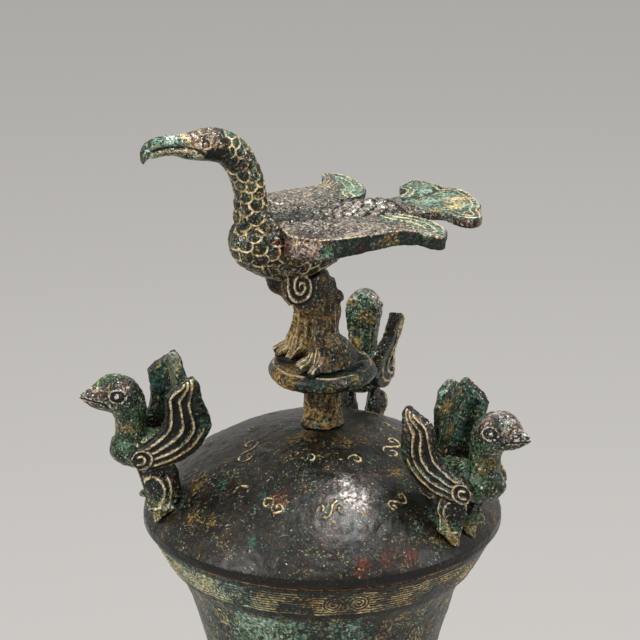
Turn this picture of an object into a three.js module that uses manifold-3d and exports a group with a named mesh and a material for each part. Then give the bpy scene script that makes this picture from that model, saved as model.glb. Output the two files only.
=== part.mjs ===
// Lidded bronze vase: a trumpet-mouthed vessel with a domed lid. A post on the lid carries a round
// perch with an eagle, and three small birds stand round the lid and face outwards.
// Millimetres, +Z up. The origin is under the middle of the whole outline, on the floor.
import * as THREE from 'three';
import Module from 'manifold-3d';
import { mergeVertices } from 'three/addons/utils/BufferGeometryUtils.js';

const wasm = await Module();
wasm.setup();

// Clearance between pieces that were cast apart and sit against each other
const seam = 0.3;
const turnSegments = 40;
const smallTurnSegments = 24;

// Vessel
const vesselHeight = 208;
const mouthRadius = 73;
const wall = 4;
const lipHeight = 2;
const lipChamfer = 2.5;
const bandHeight = 16;
const bandFootRadius = 64.5;
const bandStep = 2.5;
const bandStepHeight = 1.5;
const neckRadius = 43;
const neckLevel = 112;
const bellyRadius = 58;
const bellyLevel = 82;
const waistRadius = 41;
const waistLevel = 50;
const footRadius = 55;
const footEdge = 6;

// Lid
const lidOverhang = 2;
const lidEdge = 4;
const lidRise = 37;
const lidWall = 3.5;
const tongueDepth = 9;
const tongueWall = 3;
const tongueGap = 1;
const tongueRelief = 2;

// Post and perch
const postRadius = 8.3;
const postLength = 18;
const postSeat = 1;
const tenonRadius = 5;
const tenonHead = 8;
const tenonHeadHeight = 2.5;
const perchRadius = 22.7;
const perchHeight = 9;
const perchRound = 6;
const socketDepth = 5;

// Eagle
const eagleTurn = 26.6;
const eagleStand = 37.2;
const eagleBreadth = 33;
const eagleDepth = 25.6;
const eagleNeckRise = 34;
const eagleWingPlate = 4;
const eagleWingDrop = 9;
const eagleWingProud = 0.2;
const eagleTailPlate = 4.5;
const eagleTailSunk = 1.8;
const eagleHipSpread = 6.5;
const eagleFootSpread = 10;
const eagleToe = 16.5;
const eagleEdge = 0.8;

// Small birds. Each stands at a turn from the front towards +X and faces nearly straight out.
// They were set by hand, so each one leans and stands a little differently.
const smallBirds = [
  { name: 'left_bird', stands: -74, faces: -74, lean: -1, raise: 0.5, droop: 0 },
  { name: 'right_bird', stands: 52, faces: 52, lean: 1, raise: -3, droop: 8 },
  { name: 'back_bird', stands: 165.3, faces: 176, lean: 0, raise: 0, droop: 4 },
];
const smallBirdInset = 7;
const smallHip = 15.9;
const smallBreadth = 18;
const smallWingPlate = 4.6;
const smallWingInset = 0.5;
const smallWingBow = 2.4;
const smallWingSplay = 6;
const smallTailWidth = 14.5;
const smallTailPlate = 4.5;
const smallLegSpread = 5.6;
const smallEdge = 0.7;

// Sizes that follow from the ones above
const rimLevel = vesselHeight + lidEdge;
const throatRadius = mouthRadius - lipChamfer - wall;
const lidRadius = mouthRadius + lidOverhang;
const domeRadius = (lidRadius ** 2 + lidRise ** 2) / (2 * lidRise);
const postTop = lidRise + postLength;
const perchTop = postTop + perchHeight;
const smallBirdRadius = lidRadius - smallBirdInset;
const point = (x, y) => new THREE.Vector2(x, y);
const between = THREE.MathUtils.lerp;

const bronze = {
  dark: new THREE.MeshStandardMaterial({ color: 0x3b3a2c, roughness: 0.55, metalness: 0.6 }),
  green: new THREE.MeshStandardMaterial({ color: 0x4d5f4b, roughness: 0.65, metalness: 0.45 }),
  brown: new THREE.MeshStandardMaterial({ color: 0x55432f, roughness: 0.5, metalness: 0.6 }),
  earth: new THREE.MeshStandardMaterial({ color: 0x8a7446, roughness: 0.8, metalness: 0.3 }),
};

// Closed mesh of three.js, made a solid that can be joined and cut
function solid(geometry) {
  const bare = geometry.clone();
  bare.deleteAttribute('normal');
  bare.deleteAttribute('uv');
  const merged = mergeVertices(bare, 1e-4);
  return new wasm.Manifold(new wasm.Mesh({
    numProp: 3,
    vertProperties: new Float32Array(merged.attributes.position.array),
    triVerts: new Uint32Array(merged.index.array),
  }));
}

function meshOf(name, body, material) {
  const result = body.getMesh();
  const geometry = new THREE.BufferGeometry();
  geometry.setAttribute('position', new THREE.BufferAttribute(result.vertProperties, 3));
  geometry.setIndex(new THREE.BufferAttribute(result.triVerts, 1));
  geometry.computeVertexNormals();
  const mesh = new THREE.Mesh(geometry, material);
  mesh.name = name;
  return mesh;
}

// Revolved solid from points of radius and height that close on themselves
function revolve(points, segments = turnSegments) {
  const geometry = new THREE.LatheGeometry(points, segments);
  geometry.rotateX(Math.PI / 2);
  return solid(geometry);
}

// Body through oval sections along a line from station to station.
// A station is [x, z, half width across y, half height, y], and the last value may be left out.
// A square of 1 gives ellipses, and a lower one gives flatter sides.
function loft(stations, { steps = 16, sides = 14, grow = 0, square = 1 } = {}) {
  const line = new THREE.CatmullRomCurve3(stations.map(([x, z, , , y = 0]) => new THREE.Vector3(x, y, z)));
  const girth = new THREE.CatmullRomCurve3(stations.map(([, , w, h]) => new THREE.Vector3(w, h, 0)));
  const least = 0.2;
  const bow = (value) => Math.sign(value) * Math.abs(value) ** square;
  const positions = [];
  for (let i = 0; i <= steps; i += 1) {
    const t = i / steps;
    const middle = line.getPoint(t);
    const along = line.getTangent(t);
    const size = girth.getPoint(t);
    for (let k = 0; k < sides; k += 1) {
      const turn = (2 * Math.PI * k) / sides;
      const rise = (Math.max(size.y, least) + grow) * bow(Math.cos(turn));
      const aside = (Math.max(size.x, least) + grow) * bow(Math.sin(turn));
      positions.push(middle.x - along.z * rise, middle.y + aside, middle.z + along.x * rise);
    }
  }
  const ends = [[0, -1], [1, 1]].map(([t, way]) => {
    return line.getPoint(t).addScaledVector(line.getTangent(t), way * (least + grow));
  });
  ends.forEach((end) => positions.push(end.x, end.y, end.z));
  const first = (steps + 1) * sides;
  const index = [];
  for (let k = 0; k < sides; k += 1) {
    const next = (k + 1) % sides;
    for (let i = 0; i < steps; i += 1) {
      const a = i * sides + k;
      const b = i * sides + next;
      index.push(a, a + sides, b, b, a + sides, b + sides);
    }
    index.push(first, k, next);
    index.push(first + 1, steps * sides + next, steps * sides + k);
  }
  const geometry = new THREE.BufferGeometry();
  geometry.setAttribute('position', new THREE.Float32BufferAttribute(positions, 3));
  geometry.setIndex(index);
  return solid(geometry);
}

function smoothShape(points) {
  const shape = new THREE.Shape();
  const curve = new THREE.SplineCurve([...points, points[0]].map(([x, y]) => point(x, y)));
  shape.setFromPoints(curve.getPoints(Math.round(points.length * 1.6)).slice(0, -1));
  return shape;
}

function extrude(shape, depth, bevel = 0) {
  return new THREE.ExtrudeGeometry(shape, {
    depth: depth - 2 * bevel,
    bevelEnabled: bevel > 0,
    bevelThickness: bevel,
    bevelSize: bevel,
    bevelOffset: -bevel,
    bevelSegments: 1,
    curveSegments: 6,
    steps: 1,
  });
}

function reshape(geometry, move) {
  const place = geometry.attributes.position;
  const at = new THREE.Vector3();
  for (let i = 0; i < place.count; i += 1) {
    at.fromBufferAttribute(place, i);
    move(at);
    place.setXYZ(i, at.x, at.y, at.z);
  }
  return geometry;
}

const mirrorY = (body) => body.mirror([0, 1, 0]);

// Outer line of the vessel from the foot to the lip. The points between two named sizes are shares
// of the way from one to the other.
function vesselOutline() {
  const lip = vesselHeight - lipHeight;
  const bandFoot = lip - bandHeight;
  const neckTop = bandFoot - bandStepHeight;
  const curve = new THREE.SplineCurve([
    point(footRadius - 1, footEdge + 1),
    point(between(footRadius, waistRadius, 0.36), between(footEdge, waistLevel, 0.3)),
    point(between(footRadius, waistRadius, 0.82), between(footEdge, waistLevel, 0.59)),
    point(waistRadius, waistLevel),
    point(between(waistRadius, bellyRadius, 0.7), between(waistLevel, bellyLevel, 0.47)),
    point(bellyRadius, bellyLevel),
    point(between(bellyRadius, neckRadius, 0.33), between(bellyLevel, neckLevel, 0.5)),
    point(neckRadius, neckLevel),
    point(between(neckRadius, bandFootRadius, 0.12), between(neckLevel, neckTop, 0.31)),
    point(between(neckRadius, bandFootRadius, 0.6), between(neckLevel, neckTop, 0.81)),
    point(bandFootRadius - bandStep, neckTop),
  ]);
  return [
    point(footRadius, 0),
    point(footRadius, footEdge),
    ...curve.getPoints(18),
    point(bandFootRadius, bandFoot),
    point(mouthRadius, lip),
    point(mouthRadius - lipChamfer, vesselHeight),
  ];
}

function vesselBody() {
  const outer = vesselOutline();
  const bandFoot = vesselHeight - lipHeight - bandHeight;
  const inner = outer
    .filter((p, i) => i % 2 && p.y > waistLevel + wall && p.y < bandFoot)
    .map((p) => point(p.x - wall, p.y));
  const under = outer
    .filter((p) => p.y > footEdge && p.y < waistLevel - wall)
    .map((p) => point(p.x - wall, p.y));
  const profile = [
    point(0, waistLevel - wall),
    point(waistRadius - 1.5 * wall, waistLevel - wall),
    ...under.reverse(),
    point(footRadius - wall, 0),
    ...outer,
    point(throatRadius, vesselHeight),
    point(throatRadius, vesselHeight - tongueDepth - tongueRelief),
    ...inner.reverse(),
    point(waistRadius - wall, waistLevel),
    point(0, waistLevel),
  ];
  return revolve(profile);
}

const domeHeight = (r, radius = domeRadius) => Math.sqrt(radius ** 2 - r ** 2) - (domeRadius - lidRise);

// The lid's outer face, raised by grow, as one closed cap: it trims what stands on the lid
function domeCap(grow) {
  const radius = domeRadius + grow;
  const reach = Math.asin((lidRadius + grow) / radius);
  const steps = 14;
  const points = [point(0, -lidRise), point(lidRadius + grow, -lidRise)];
  for (let i = steps; i >= 0; i -= 1) {
    const r = radius * Math.sin((reach * i) / steps);
    points.push(point(r, domeHeight(r, radius)));
  }
  return revolve(points);
}

function lidBody() {
  const hole = tenonRadius + seam;
  const outerSteps = 9;
  const innerSteps = 5;
  const start = Math.asin((postRadius + postSeat) / domeRadius);
  const reach = Math.asin(lidRadius / domeRadius);
  const outer = [];
  for (let i = 0; i <= outerSteps; i += 1) {
    const r = domeRadius * Math.sin(between(start, reach, i / outerSteps));
    outer.push(point(r, domeHeight(r)));
  }
  const tongueOuter = throatRadius - tongueGap;
  const tongueInner = tongueOuter - tongueWall;
  const inner = [];
  for (let i = 0; i <= innerSteps; i += 1) {
    const r = between(tenonHead + postSeat, tongueInner, i / innerSteps);
    inner.push(point(r, domeHeight(r, domeRadius - lidWall)));
  }
  const profile = [
    point(hole, outer[0].y),
    ...outer,
    point(lidRadius, -lidEdge),
    point(tongueOuter, -lidEdge),
    point(tongueOuter, -lidEdge - tongueDepth),
    point(tongueInner, -lidEdge - tongueDepth),
    ...inner.reverse(),
    point(hole, inner[inner.length - 1].y),
    point(hole, outer[0].y),
  ];
  return revolve(profile.reverse());
}

// The post stands on the lid's crown. Its tenon goes through the crown and is riveted under it.
function postBody() {
  const shoulder = domeHeight(postRadius + postSeat);
  const under = domeHeight(tenonHead + postSeat, domeRadius - lidWall);
  const tip = postTop + socketDepth - seam;
  return revolve([
    point(0, under - tenonHeadHeight),
    point(tenonHead - 2, under - tenonHeadHeight),
    point(tenonHead, under),
    point(tenonRadius, under),
    point(tenonRadius, shoulder),
    point(postRadius, shoulder),
    point(postRadius, postTop),
    point(tenonRadius, postTop),
    point(tenonRadius, tip),
    point(0, tip),
  ], smallTurnSegments);
}

// Outer line of the perch from its flat underside round its full edge to the middle of its top
function perchLine(grow = 0) {
  const steps = 6;
  const line = [];
  for (let i = 0; i <= steps; i += 1) {
    const turn = Math.PI * (i / steps - 0.5);
    const r = perchRadius - perchRound + (perchRound + grow) * Math.cos(turn);
    line.push(point(r, postTop + perchHeight / 2 + (perchHeight / 2 + grow) * Math.sin(turn)));
  }
  return [...line, point(0, perchTop + grow)];
}

function perchBody() {
  const socket = tenonRadius + seam;
  return revolve([
    point(0, postTop + socketDepth),
    point(socket, postTop + socketDepth),
    point(socket, postTop),
    ...perchLine(),
  ], smallTurnSegments);
}

// The perch without its socket and raised by the seam: it trims the feet that stand on it
function perchTrim() {
  const line = perchLine(seam);
  return revolve([point(0, line[0].y), ...line], smallTurnSegments).translate([0, 0, -perchTop]);
}

// Eagle, in its own frame: x towards the beak, y to its left, z up from the perch.
// Its upper pieces are drawn from the underside of the breast and then raised by the legs.
const raiseEagle = (body) => body.translate([0, 0, eagleStand]);

// Sections as shares of the eagle's depth and breadth
function eagleTorso(grow = 0) {
  const stations = [
    [-31, 0.84, 0.36, 0.1],
    [-22, 0.82, 0.67, 0.24],
    [-10, 0.72, 0.91, 0.53],
    [0, 0.61, 1, 0.77],
    [12, 0.5, 1, 1],
    [22, 0.54, 0.91, 1.01],
    [31, 0.68, 0.76, 0.86],
    [37, 0.77, 0.52, 0.62],
    [40.6, 0.8, 0.18, 0.23],
  ].map(([x, rise, breadth, depth]) => [
    x, rise * eagleDepth, (breadth * eagleBreadth) / 2, (depth * eagleDepth) / 2,
  ]);
  return raiseEagle(loft(stations, { steps: 14, sides: 18, grow, square: 0.85 }));
}

// Levels as shares of the neck's rise above the back
function eagleNeck(grow = 0) {
  const stations = [
    [22, -0.32, 9, 9],
    [30.5, -0.02, 9.5, 8.3],
    [31.4, 0.24, 6.9, 6.6],
    [33, 0.53, 6.3, 6.5],
    [37.2, 0.8, 6.3, 6.8],
    [44.5, 0.97, 6.6, 6.8],
    [52, 1, 6.3, 6.6],
    [58.5, 1.01, 4.8, 5.4],
    [64, 1.04, 3.5, 4.4],
    [70, 1.04, 3, 4.3],
    [74.4, 1.01, 2.3, 3.9],
    [76.6, 0.94, 1.3, 2.2],
    [77, 0.85, 0.4, 0.6],
  ].map(([x, rise, breadth, depth]) => [x, eagleDepth + rise * eagleNeckRise, breadth, depth]);
  return raiseEagle(loft(stations, { steps: 27, sides: 14, grow }));
}

const eagleBody = (grow = 0) => eagleTorso(grow).add(eagleNeck(grow));

// The left wing: a flat upper face whose outer edge and hooked tip hang down as a side band
function eagleWing() {
  const top = eagleDepth + eagleWingProud;
  const edge = [
    [25, 15], [25.5, 24], [18, 33], [6, 35.5], [-6, 36], [-15, 36.5], [-21, 41], [-24.5, 51.5], [-29, 50],
  ];
  const plate = extrude(smoothShape([
    [24, 6], ...edge, [-33.5, 43], [-34.5, 33], [-31.5, 22], [-26, 15], [-18, 13.5], [-8, 11], [10, 7],
  ]), eagleWingPlate, eagleEdge);
  plate.translate(0, 0, top - eagleWingPlate + eagleEdge);
  const side = extrude(smoothShape([
    [20, 10], ...edge, [-24.5, 44], [-19, 33.5], [-12, 31], [0, 30.5], [12, 28.5], [16, 22], [14, 12],
  ]), eagleWingDrop, eagleEdge);
  side.translate(0, 0, top - eagleWingDrop + eagleEdge);
  reshape(side, (at) => {
    const low = THREE.MathUtils.smoothstep(top - at.z, eagleWingPlate, eagleWingDrop);
    at.z += low * THREE.MathUtils.mapLinear(at.x, 25, -29, -1, 3);
  });
  return raiseEagle(solid(plate).add(solid(side))).subtract(eagleBody(seam));
}

// The tail's two sides are the same up to the hook behind the wings. Its right corner is the fuller one.
function eagleTail() {
  const side = [[-16, 10], [-26, 11.5], [-35, 12.3], [-43, 14], [-47, 18], [-46.5, 23]];
  const otherSide = side.map(([x, y]) => [x, -y]).reverse();
  const plate = extrude(smoothShape([
    ...side, [-50.5, 29], [-55.5, 30.5], [-59, 26.5], [-61, 20], [-64.5, 16], [-67.5, 9],
    [-69.5, 0], [-69.5, -8], [-67, -14.5], [-64, -20], [-62.5, -27], [-58.5, -31], [-53, -29.5],
    ...otherSide,
  ]), eagleTailPlate, eagleEdge);
  plate.translate(0, 0, eagleDepth - eagleTailSunk - eagleTailPlate + eagleEdge);
  return raiseEagle(solid(plate)).subtract(eagleTorso(seam));
}

// Levels as shares of the eagle's standing height
function eagleLeg() {
  const hip = eagleHipSpread;
  const foot = eagleFootSpread;
  const shank = loft([
    [10.5, 1.13, 6, 8, hip],
    [9, 0.9, 6.6, 10.8, hip],
    [3.6, 0.76, 6.2, 10.2, between(hip, foot, 0.3)],
    [2.6, 0.56, 5, 6, between(hip, foot, 0.6)],
    [3.2, 0.42, 4.6, 5.4, between(hip, foot, 0.9)],
    [3, 0.3, 5.2, 8, foot],
    [1.5, 0.14, 7, 11.5, foot],
    [1, 0.02, 7.8, 13, foot],
  ].map(([x, rise, ...rest]) => [x, rise * eagleStand, ...rest]), { steps: 8, sides: 10 });
  const toes = [[0.95, 26], [1, 0], [0.9, -24], [-1, 6]].map(([share, aside]) => {
    const reach = share * eagleToe;
    const stations = [[0, 3, 3.2, 3.2], [reach * 0.55, 2.8, 3, 3.1], [reach, 0.4, 1.8, 1.8]];
    return loft(stations, { steps: 3, sides: 6 }).rotate([0, 0, aside]).translate([0, foot, 0]);
  });
  return toes.reduce((leg, toe) => leg.add(toe), shank)
    .subtract(eagleTorso(seam))
    .subtract(perchTrim());
}

// Small bird, in its own frame: x the way it faces, y to its left, z up from the lid's face at its
// feet, which stand round x = 0. Its upper pieces are drawn from the hip and then raised.
function smallBody(grow = 0) {
  const half = smallBreadth / 2;
  const trunk = loft([
    [-13, 10.5, 0.55 * half, 4],
    [-8, 9.5, 0.8 * half, 6.5],
    [0, 8.6, 0.95 * half, 8.2],
    [9, 8.8, half, 8.6],
    [16, 10.5, 0.93 * half, 7.6],
    [19, 12.5, 0.56 * half, 5],
    [20.6, 13.2, 0.17 * half, 1.5],
  ], { steps: 9, sides: 12, grow });
  const head = loft([
    [12, 10, 7.5, 7.5],
    [12.6, 18, 6.6, 6.6],
    [12.8, 25, 7, 7.2],
    [15.5, 31.5, 8.2, 8.6],
    [20, 33.6, 8, 8.6],
    [24.5, 33, 6, 7],
    [28, 32.8, 3.8, 5],
    [31.2, 33, 2, 2.8],
    [34, 33.1, 0.3, 0.4],
  ], { steps: 12, sides: 12, grow });
  return trunk.add(head);
}

// The left wing, bent in round the rump behind and turned down about its root by droop
function smallWing(droop) {
  const root = [13, 7];
  const outline = smoothShape([
    [15.5, 9], [14, 5.5], [9, 3.5], [0, 4.5], [-9, 7.5], [-15.5, 13], [-18.4, 20], [-17, 27],
    [-13.5, 34], [-10.6, 44], [-4, 41], [2.3, 36.5], [1.6, 27], [3, 21], [7.5, 16.5], [13, 13],
  ]);
  const plate = extrude(outline, smallWingPlate, smallEdge);
  plate.rotateX(Math.PI / 2);
  plate.translate(0, smallWingPlate - smallEdge, 0);
  reshape(plate, (at) => {
    at.y += smallBreadth / 2 - smallWingInset + smallWingSplay * THREE.MathUtils.smoothstep(at.z, 10, 44);
    at.y -= smallWingBow * Math.min(at.x / smallBreadth, 0) ** 2;
  });
  return solid(plate)
    .translate([-root[0], 0, -root[1]])
    .rotate([0, -droop, 0])
    .translate([root[0], 0, root[1]])
    .subtract(smallBody(seam));
}

// The tail rises from inside the rump and leans out a little behind the neck
function smallTail() {
  const half = smallTailWidth / 2;
  const root = 12;
  const plate = extrude(smoothShape([
    [root, 2], [17, half - 3], [28, half - 1.8], [40, half], [46, half - 2], [49.4, 0],
    [46, 2 - half], [40, -half], [28, 1.8 - half], [17, 3 - half], [root, -2],
  ]), smallTailPlate, smallEdge);
  plate.translate(0, 0, smallEdge - smallTailPlate / 2);
  plate.rotateY(-Math.PI / 2);
  reshape(plate, (at) => {
    at.x += 0.14 * (at.z - root) - 10;
  });
  return solid(plate).subtract(smallBody(seam));
}

// The left leg, from inside the trunk to just inside the lid, trimmed by both
function smallLeg(raise, body, lidTop) {
  return loft([
    [2.5, smallHip + 6 + raise, 1.4, 4.6],
    [2, smallHip + 1 + raise, 3, 7.6],
    [0.5, 0.56 * smallHip + raise / 2, 4.6, 7.6],
    [-0.5, 0.9, 4.8, 6.6],
    [-1.5, -7, 5, 6.8],
  ], { steps: 6, sides: 8 })
    .translate([0, smallLegSpread, 0])
    .subtract(body)
    .subtract(lidTop);
}

function eagle() {
  const bird = new THREE.Group();
  const wing = eagleWing();
  const leg = eagleLeg();
  bird.add(meshOf('eagle_body', eagleBody(), bronze.green));
  bird.add(meshOf('eagle_left_wing', wing, bronze.dark));
  bird.add(meshOf('eagle_right_wing', mirrorY(wing), bronze.dark));
  bird.add(meshOf('eagle_tail', eagleTail(), bronze.green));
  bird.add(meshOf('eagle_left_leg', leg, bronze.earth));
  bird.add(meshOf('eagle_right_leg', mirrorY(leg), bronze.earth));
  bird.position.z = perchTop;
  bird.rotation.z = THREE.MathUtils.degToRad(180 + eagleTurn);
  return bird;
}

function smallBird({ name, stands, faces, lean, raise, droop }) {
  const place = THREE.MathUtils.degToRad(stands - 90);
  const skew = THREE.MathUtils.degToRad(stands - faces);
  const lidFace = domeHeight(smallBirdRadius);
  const settle = (body) => body.rotate([0, lean, 0]).translate([0, 0, smallHip + raise]);
  const body = settle(smallBody(seam));
  const lidTop = domeCap(seam).translate([
    -smallBirdRadius * Math.cos(skew), -smallBirdRadius * Math.sin(skew), -lidFace,
  ]);
  const leg = smallLeg(raise, body, lidTop);
  const otherLeg = mirrorY(smallLeg(raise, mirrorY(body), mirrorY(lidTop)));
  const bird = new THREE.Group();
  bird.add(meshOf(`${name}_body`, settle(smallBody()), bronze.green));
  bird.add(meshOf(`${name}_left_wing`, settle(smallWing(0)), bronze.dark));
  bird.add(meshOf(`${name}_right_wing`, settle(mirrorY(smallWing(droop))), bronze.dark));
  bird.add(meshOf(`${name}_tail`, settle(smallTail()), bronze.green));
  bird.add(meshOf(`${name}_left_leg`, leg, bronze.brown));
  bird.add(meshOf(`${name}_right_leg`, otherLeg, bronze.brown));
  bird.position.set(smallBirdRadius * Math.cos(place), smallBirdRadius * Math.sin(place), lidFace);
  bird.rotation.z = THREE.MathUtils.degToRad(faces - 90);
  return bird;
}

const lidGroup = new THREE.Group();
lidGroup.add(meshOf('lid', lidBody(), bronze.brown));
lidGroup.add(meshOf('finial_post', postBody(), bronze.earth));
lidGroup.add(meshOf('perch_disc', perchBody(), bronze.dark));
lidGroup.add(eagle());
smallBirds.forEach((bird) => lidGroup.add(smallBird(bird)));
lidGroup.position.z = rimLevel;

const vase = new THREE.Group();
vase.add(meshOf('vessel_body', vesselBody(), bronze.green));
vase.add(lidGroup);

vase.updateMatrixWorld(true);
const outline = new THREE.Box3().setFromObject(vase, true);
const middle = outline.getCenter(new THREE.Vector3());
vase.position.set(-middle.x, -middle.y, 0);

export default vase;
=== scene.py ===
import math

import bpy
import numpy as np
from mathutils import Matrix, Vector


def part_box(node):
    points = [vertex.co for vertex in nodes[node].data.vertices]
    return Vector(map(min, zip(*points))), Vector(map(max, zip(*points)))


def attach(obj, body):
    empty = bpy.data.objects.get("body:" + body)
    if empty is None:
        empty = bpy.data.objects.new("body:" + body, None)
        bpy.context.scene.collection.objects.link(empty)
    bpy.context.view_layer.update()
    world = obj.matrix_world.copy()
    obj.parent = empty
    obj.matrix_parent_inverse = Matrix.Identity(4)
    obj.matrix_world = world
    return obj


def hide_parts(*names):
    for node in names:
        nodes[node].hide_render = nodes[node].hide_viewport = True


# The looks of a lidded ritual bronze with an eagle and three small birds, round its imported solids.
# Drawing is in millimetres; a piece is turned to metres when it goes to its place.

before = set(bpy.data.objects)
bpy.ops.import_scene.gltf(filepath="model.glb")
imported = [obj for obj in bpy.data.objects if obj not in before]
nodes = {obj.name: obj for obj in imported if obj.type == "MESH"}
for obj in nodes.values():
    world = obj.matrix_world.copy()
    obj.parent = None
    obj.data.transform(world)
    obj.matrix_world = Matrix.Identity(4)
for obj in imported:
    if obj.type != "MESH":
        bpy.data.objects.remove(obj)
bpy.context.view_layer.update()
mm = 0.001

vesselLow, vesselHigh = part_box("vessel_body")
axis = Vector(((vesselLow.x + vesselHigh.x) / 2, (vesselLow.y + vesselHigh.y) / 2, 0))
lipLevel = vesselHigh.z / mm
rimLevel = lipLevel + 4


# Selection, modifiers and edit mode

def pick(*objects):
    bpy.ops.object.select_all(action="DESELECT")
    for obj in objects:
        obj.select_set(True)
    bpy.context.view_layer.objects.active = objects[0]


def finishWith(obj, kind, **settings):
    pick(obj)
    modifier = obj.modifiers.new(kind.title(), kind)
    for key, value in settings.items():
        setattr(modifier, key, value)
    bpy.ops.object.modifier_apply(modifier=modifier.name)


def joinPieces(pieces, name):
    pick(*pieces)
    if len(pieces) > 1:
        bpy.ops.object.join()
    obj = bpy.context.object
    obj.name = name
    obj.data.name = name
    return obj


# Smooth line through points, by centripetal-free Catmull-Rom, with a number of parts per stretch
def smoothLine(points, parts):
    points = np.array(points, float)
    padded = np.vstack([2 * points[0] - points[1], points, 2 * points[-1] - points[-2]])
    line = []
    for i in range(len(points) - 1):
        a, b, c, d = padded[i:i + 4]
        for t in np.arange(parts) / parts:
            line.append(0.5 * (2 * b + (c - a) * t + (2 * a - 5 * b + 4 * c - d) * t ** 2
                               + (3 * b - a - 3 * c + d) * t ** 3))
    line.append(points[-1])
    return np.array(line)


# The same line cut to even steps of a given length
def evenLine(points, step):
    points = np.array(points, float)
    reach = np.concatenate([[0], np.cumsum(np.linalg.norm(np.diff(points, axis=0), axis=1))])
    stops = np.linspace(0, reach[-1], max(2, int(round(reach[-1] / step)) + 1))
    return np.stack([np.interp(stops, reach, points[:, k]) for k in range(points.shape[1])], axis=1)


# A body pulled out ring by ring along x, y, z, half breadth, half depth
def pullTube(name, stations, sides=20, parts=2, grow=1.0):
    rings = smoothLine(stations, parts)
    places = [Vector(ring[:3]) for ring in rings]
    tilts = []
    for i in range(len(places)):
        ahead = places[min(i + 1, len(places) - 1)] - places[max(i - 1, 0)]
        tilts.append(math.atan2(ahead.z, ahead.x))
    girths = [(max(ring[3], 0.12) * grow, max(ring[4], 0.12) * grow) for ring in rings]
    bpy.ops.object.select_all(action="DESELECT")
    bpy.ops.mesh.primitive_circle_add(vertices=sides, radius=1, rotation=(0, math.pi / 2, 0))
    obj = bpy.context.object
    obj.name = name
    bpy.ops.object.transform_apply(location=True, rotation=True, scale=True)
    bpy.ops.object.mode_set(mode="EDIT")
    bpy.ops.mesh.select_all(action="SELECT")
    bpy.ops.mesh.edge_face_add()
    bpy.ops.transform.resize(value=(1, *girths[0]), center_override=(0, 0, 0))
    bpy.ops.transform.rotate(value=tilts[0], orient_axis="Y", center_override=(0, 0, 0))
    bpy.ops.transform.translate(value=places[0])
    for i in range(1, len(places)):
        bpy.ops.mesh.extrude_region_move()
        bpy.ops.transform.translate(value=places[i] - places[i - 1])
        bpy.ops.transform.rotate(value=-tilts[i - 1], orient_axis="Y", center_override=places[i])
        wider, deeper = (girths[i][k] / girths[i - 1][k] for k in (0, 1))
        bpy.ops.transform.resize(value=(1, wider, deeper), center_override=places[i])
        bpy.ops.transform.rotate(value=tilts[i], orient_axis="Y", center_override=places[i])
    bpy.ops.mesh.select_all(action="SELECT")
    bpy.ops.mesh.normals_make_consistent(inside=False)
    bpy.ops.object.mode_set(mode="OBJECT")
    finishWith(obj, "SUBSURF", levels=1, render_levels=1)
    return obj


# An egg-shaped lump, such as a shoulder or a boss
def addLump(place, sizes, turn=0.0):
    bpy.ops.object.select_all(action="DESELECT")
    bpy.ops.mesh.primitive_uv_sphere_add(segments=32, ring_count=20, radius=1)
    obj = bpy.context.object
    obj.scale = sizes
    obj.rotation_euler = (0, 0, math.radians(turn))
    obj.location = place
    bpy.ops.object.transform_apply(location=True, rotation=True, scale=True)
    return obj


# A profile of radius and height, spun round the axis into a closed body
def spinProfile(name, profile, steps):
    line = bpy.data.curves.new(name, "CURVE")
    line.dimensions = "3D"
    spline = line.splines.new("POLY")
    spline.points.add(len(profile) - 1)
    for knot, (radius, height) in zip(spline.points, profile):
        knot.co = (radius, 0, height, 1)
    obj = bpy.data.objects.new(name, line)
    bpy.context.scene.collection.objects.link(obj)
    pick(obj)
    bpy.ops.object.convert(target="MESH")
    obj = bpy.context.object
    bpy.ops.object.mode_set(mode="EDIT")
    bpy.ops.mesh.select_all(action="SELECT")
    bpy.ops.mesh.spin(steps=steps, angle=2 * math.pi, center=(0, 0, 0), axis=(0, 0, 1))
    bpy.ops.mesh.select_all(action="SELECT")
    bpy.ops.mesh.remove_doubles(threshold=0.002)
    bpy.ops.mesh.normals_make_consistent(inside=False)
    bpy.ops.object.mode_set(mode="OBJECT")
    return obj


# Faces near fine work are cut in four, so that its lines have enough points
def cutFiner(obj, chosen):
    places = faceMiddles(obj)
    pick(obj)
    bpy.ops.object.mode_set(mode="EDIT")
    bpy.ops.mesh.select_mode(type="FACE")
    bpy.ops.mesh.select_all(action="DESELECT")
    bpy.ops.object.mode_set(mode="OBJECT")
    obj.data.polygons.foreach_set("select", chosen(places))
    bpy.ops.object.mode_set(mode="EDIT")
    bpy.ops.mesh.subdivide(number_cuts=1)
    bpy.ops.mesh.select_mode(type="VERT")
    bpy.ops.object.mode_set(mode="OBJECT")


def faceMiddles(obj):
    middles = np.empty(len(obj.data.polygons) * 3)
    obj.data.polygons.foreach_get("center", middles)
    return middles.reshape(-1, 3)


# Reading and moving a surface

def readPoints(obj):
    points = np.empty(len(obj.data.vertices) * 3)
    obj.data.vertices.foreach_get("co", points)
    return points.reshape(-1, 3)


def writePoints(obj, points):
    obj.data.vertices.foreach_set("co", np.asarray(points, np.float32).ravel())
    obj.data.update()


def readNormals(obj):
    normals = np.empty(len(obj.data.vertices) * 3)
    obj.data.vertex_normals.foreach_get("vector", normals)
    return normals.reshape(-1, 3)


def keepField(obj, name, values):
    field = obj.data.attributes.get(name) or obj.data.attributes.new(name, "FLOAT", "POINT")
    field.data.foreach_set("value", np.asarray(values, np.float32))


# Fields of the surface that the finishes read; a field that a piece lacks counts as nought there
def keepFields(obj, **fields):
    for name, values in fields.items():
        keepField(obj, name, values)


def ease(low, high, values):
    t = np.clip((values - low) / (high - low), 0, 1)
    return t * t * (3 - 2 * t)


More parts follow.
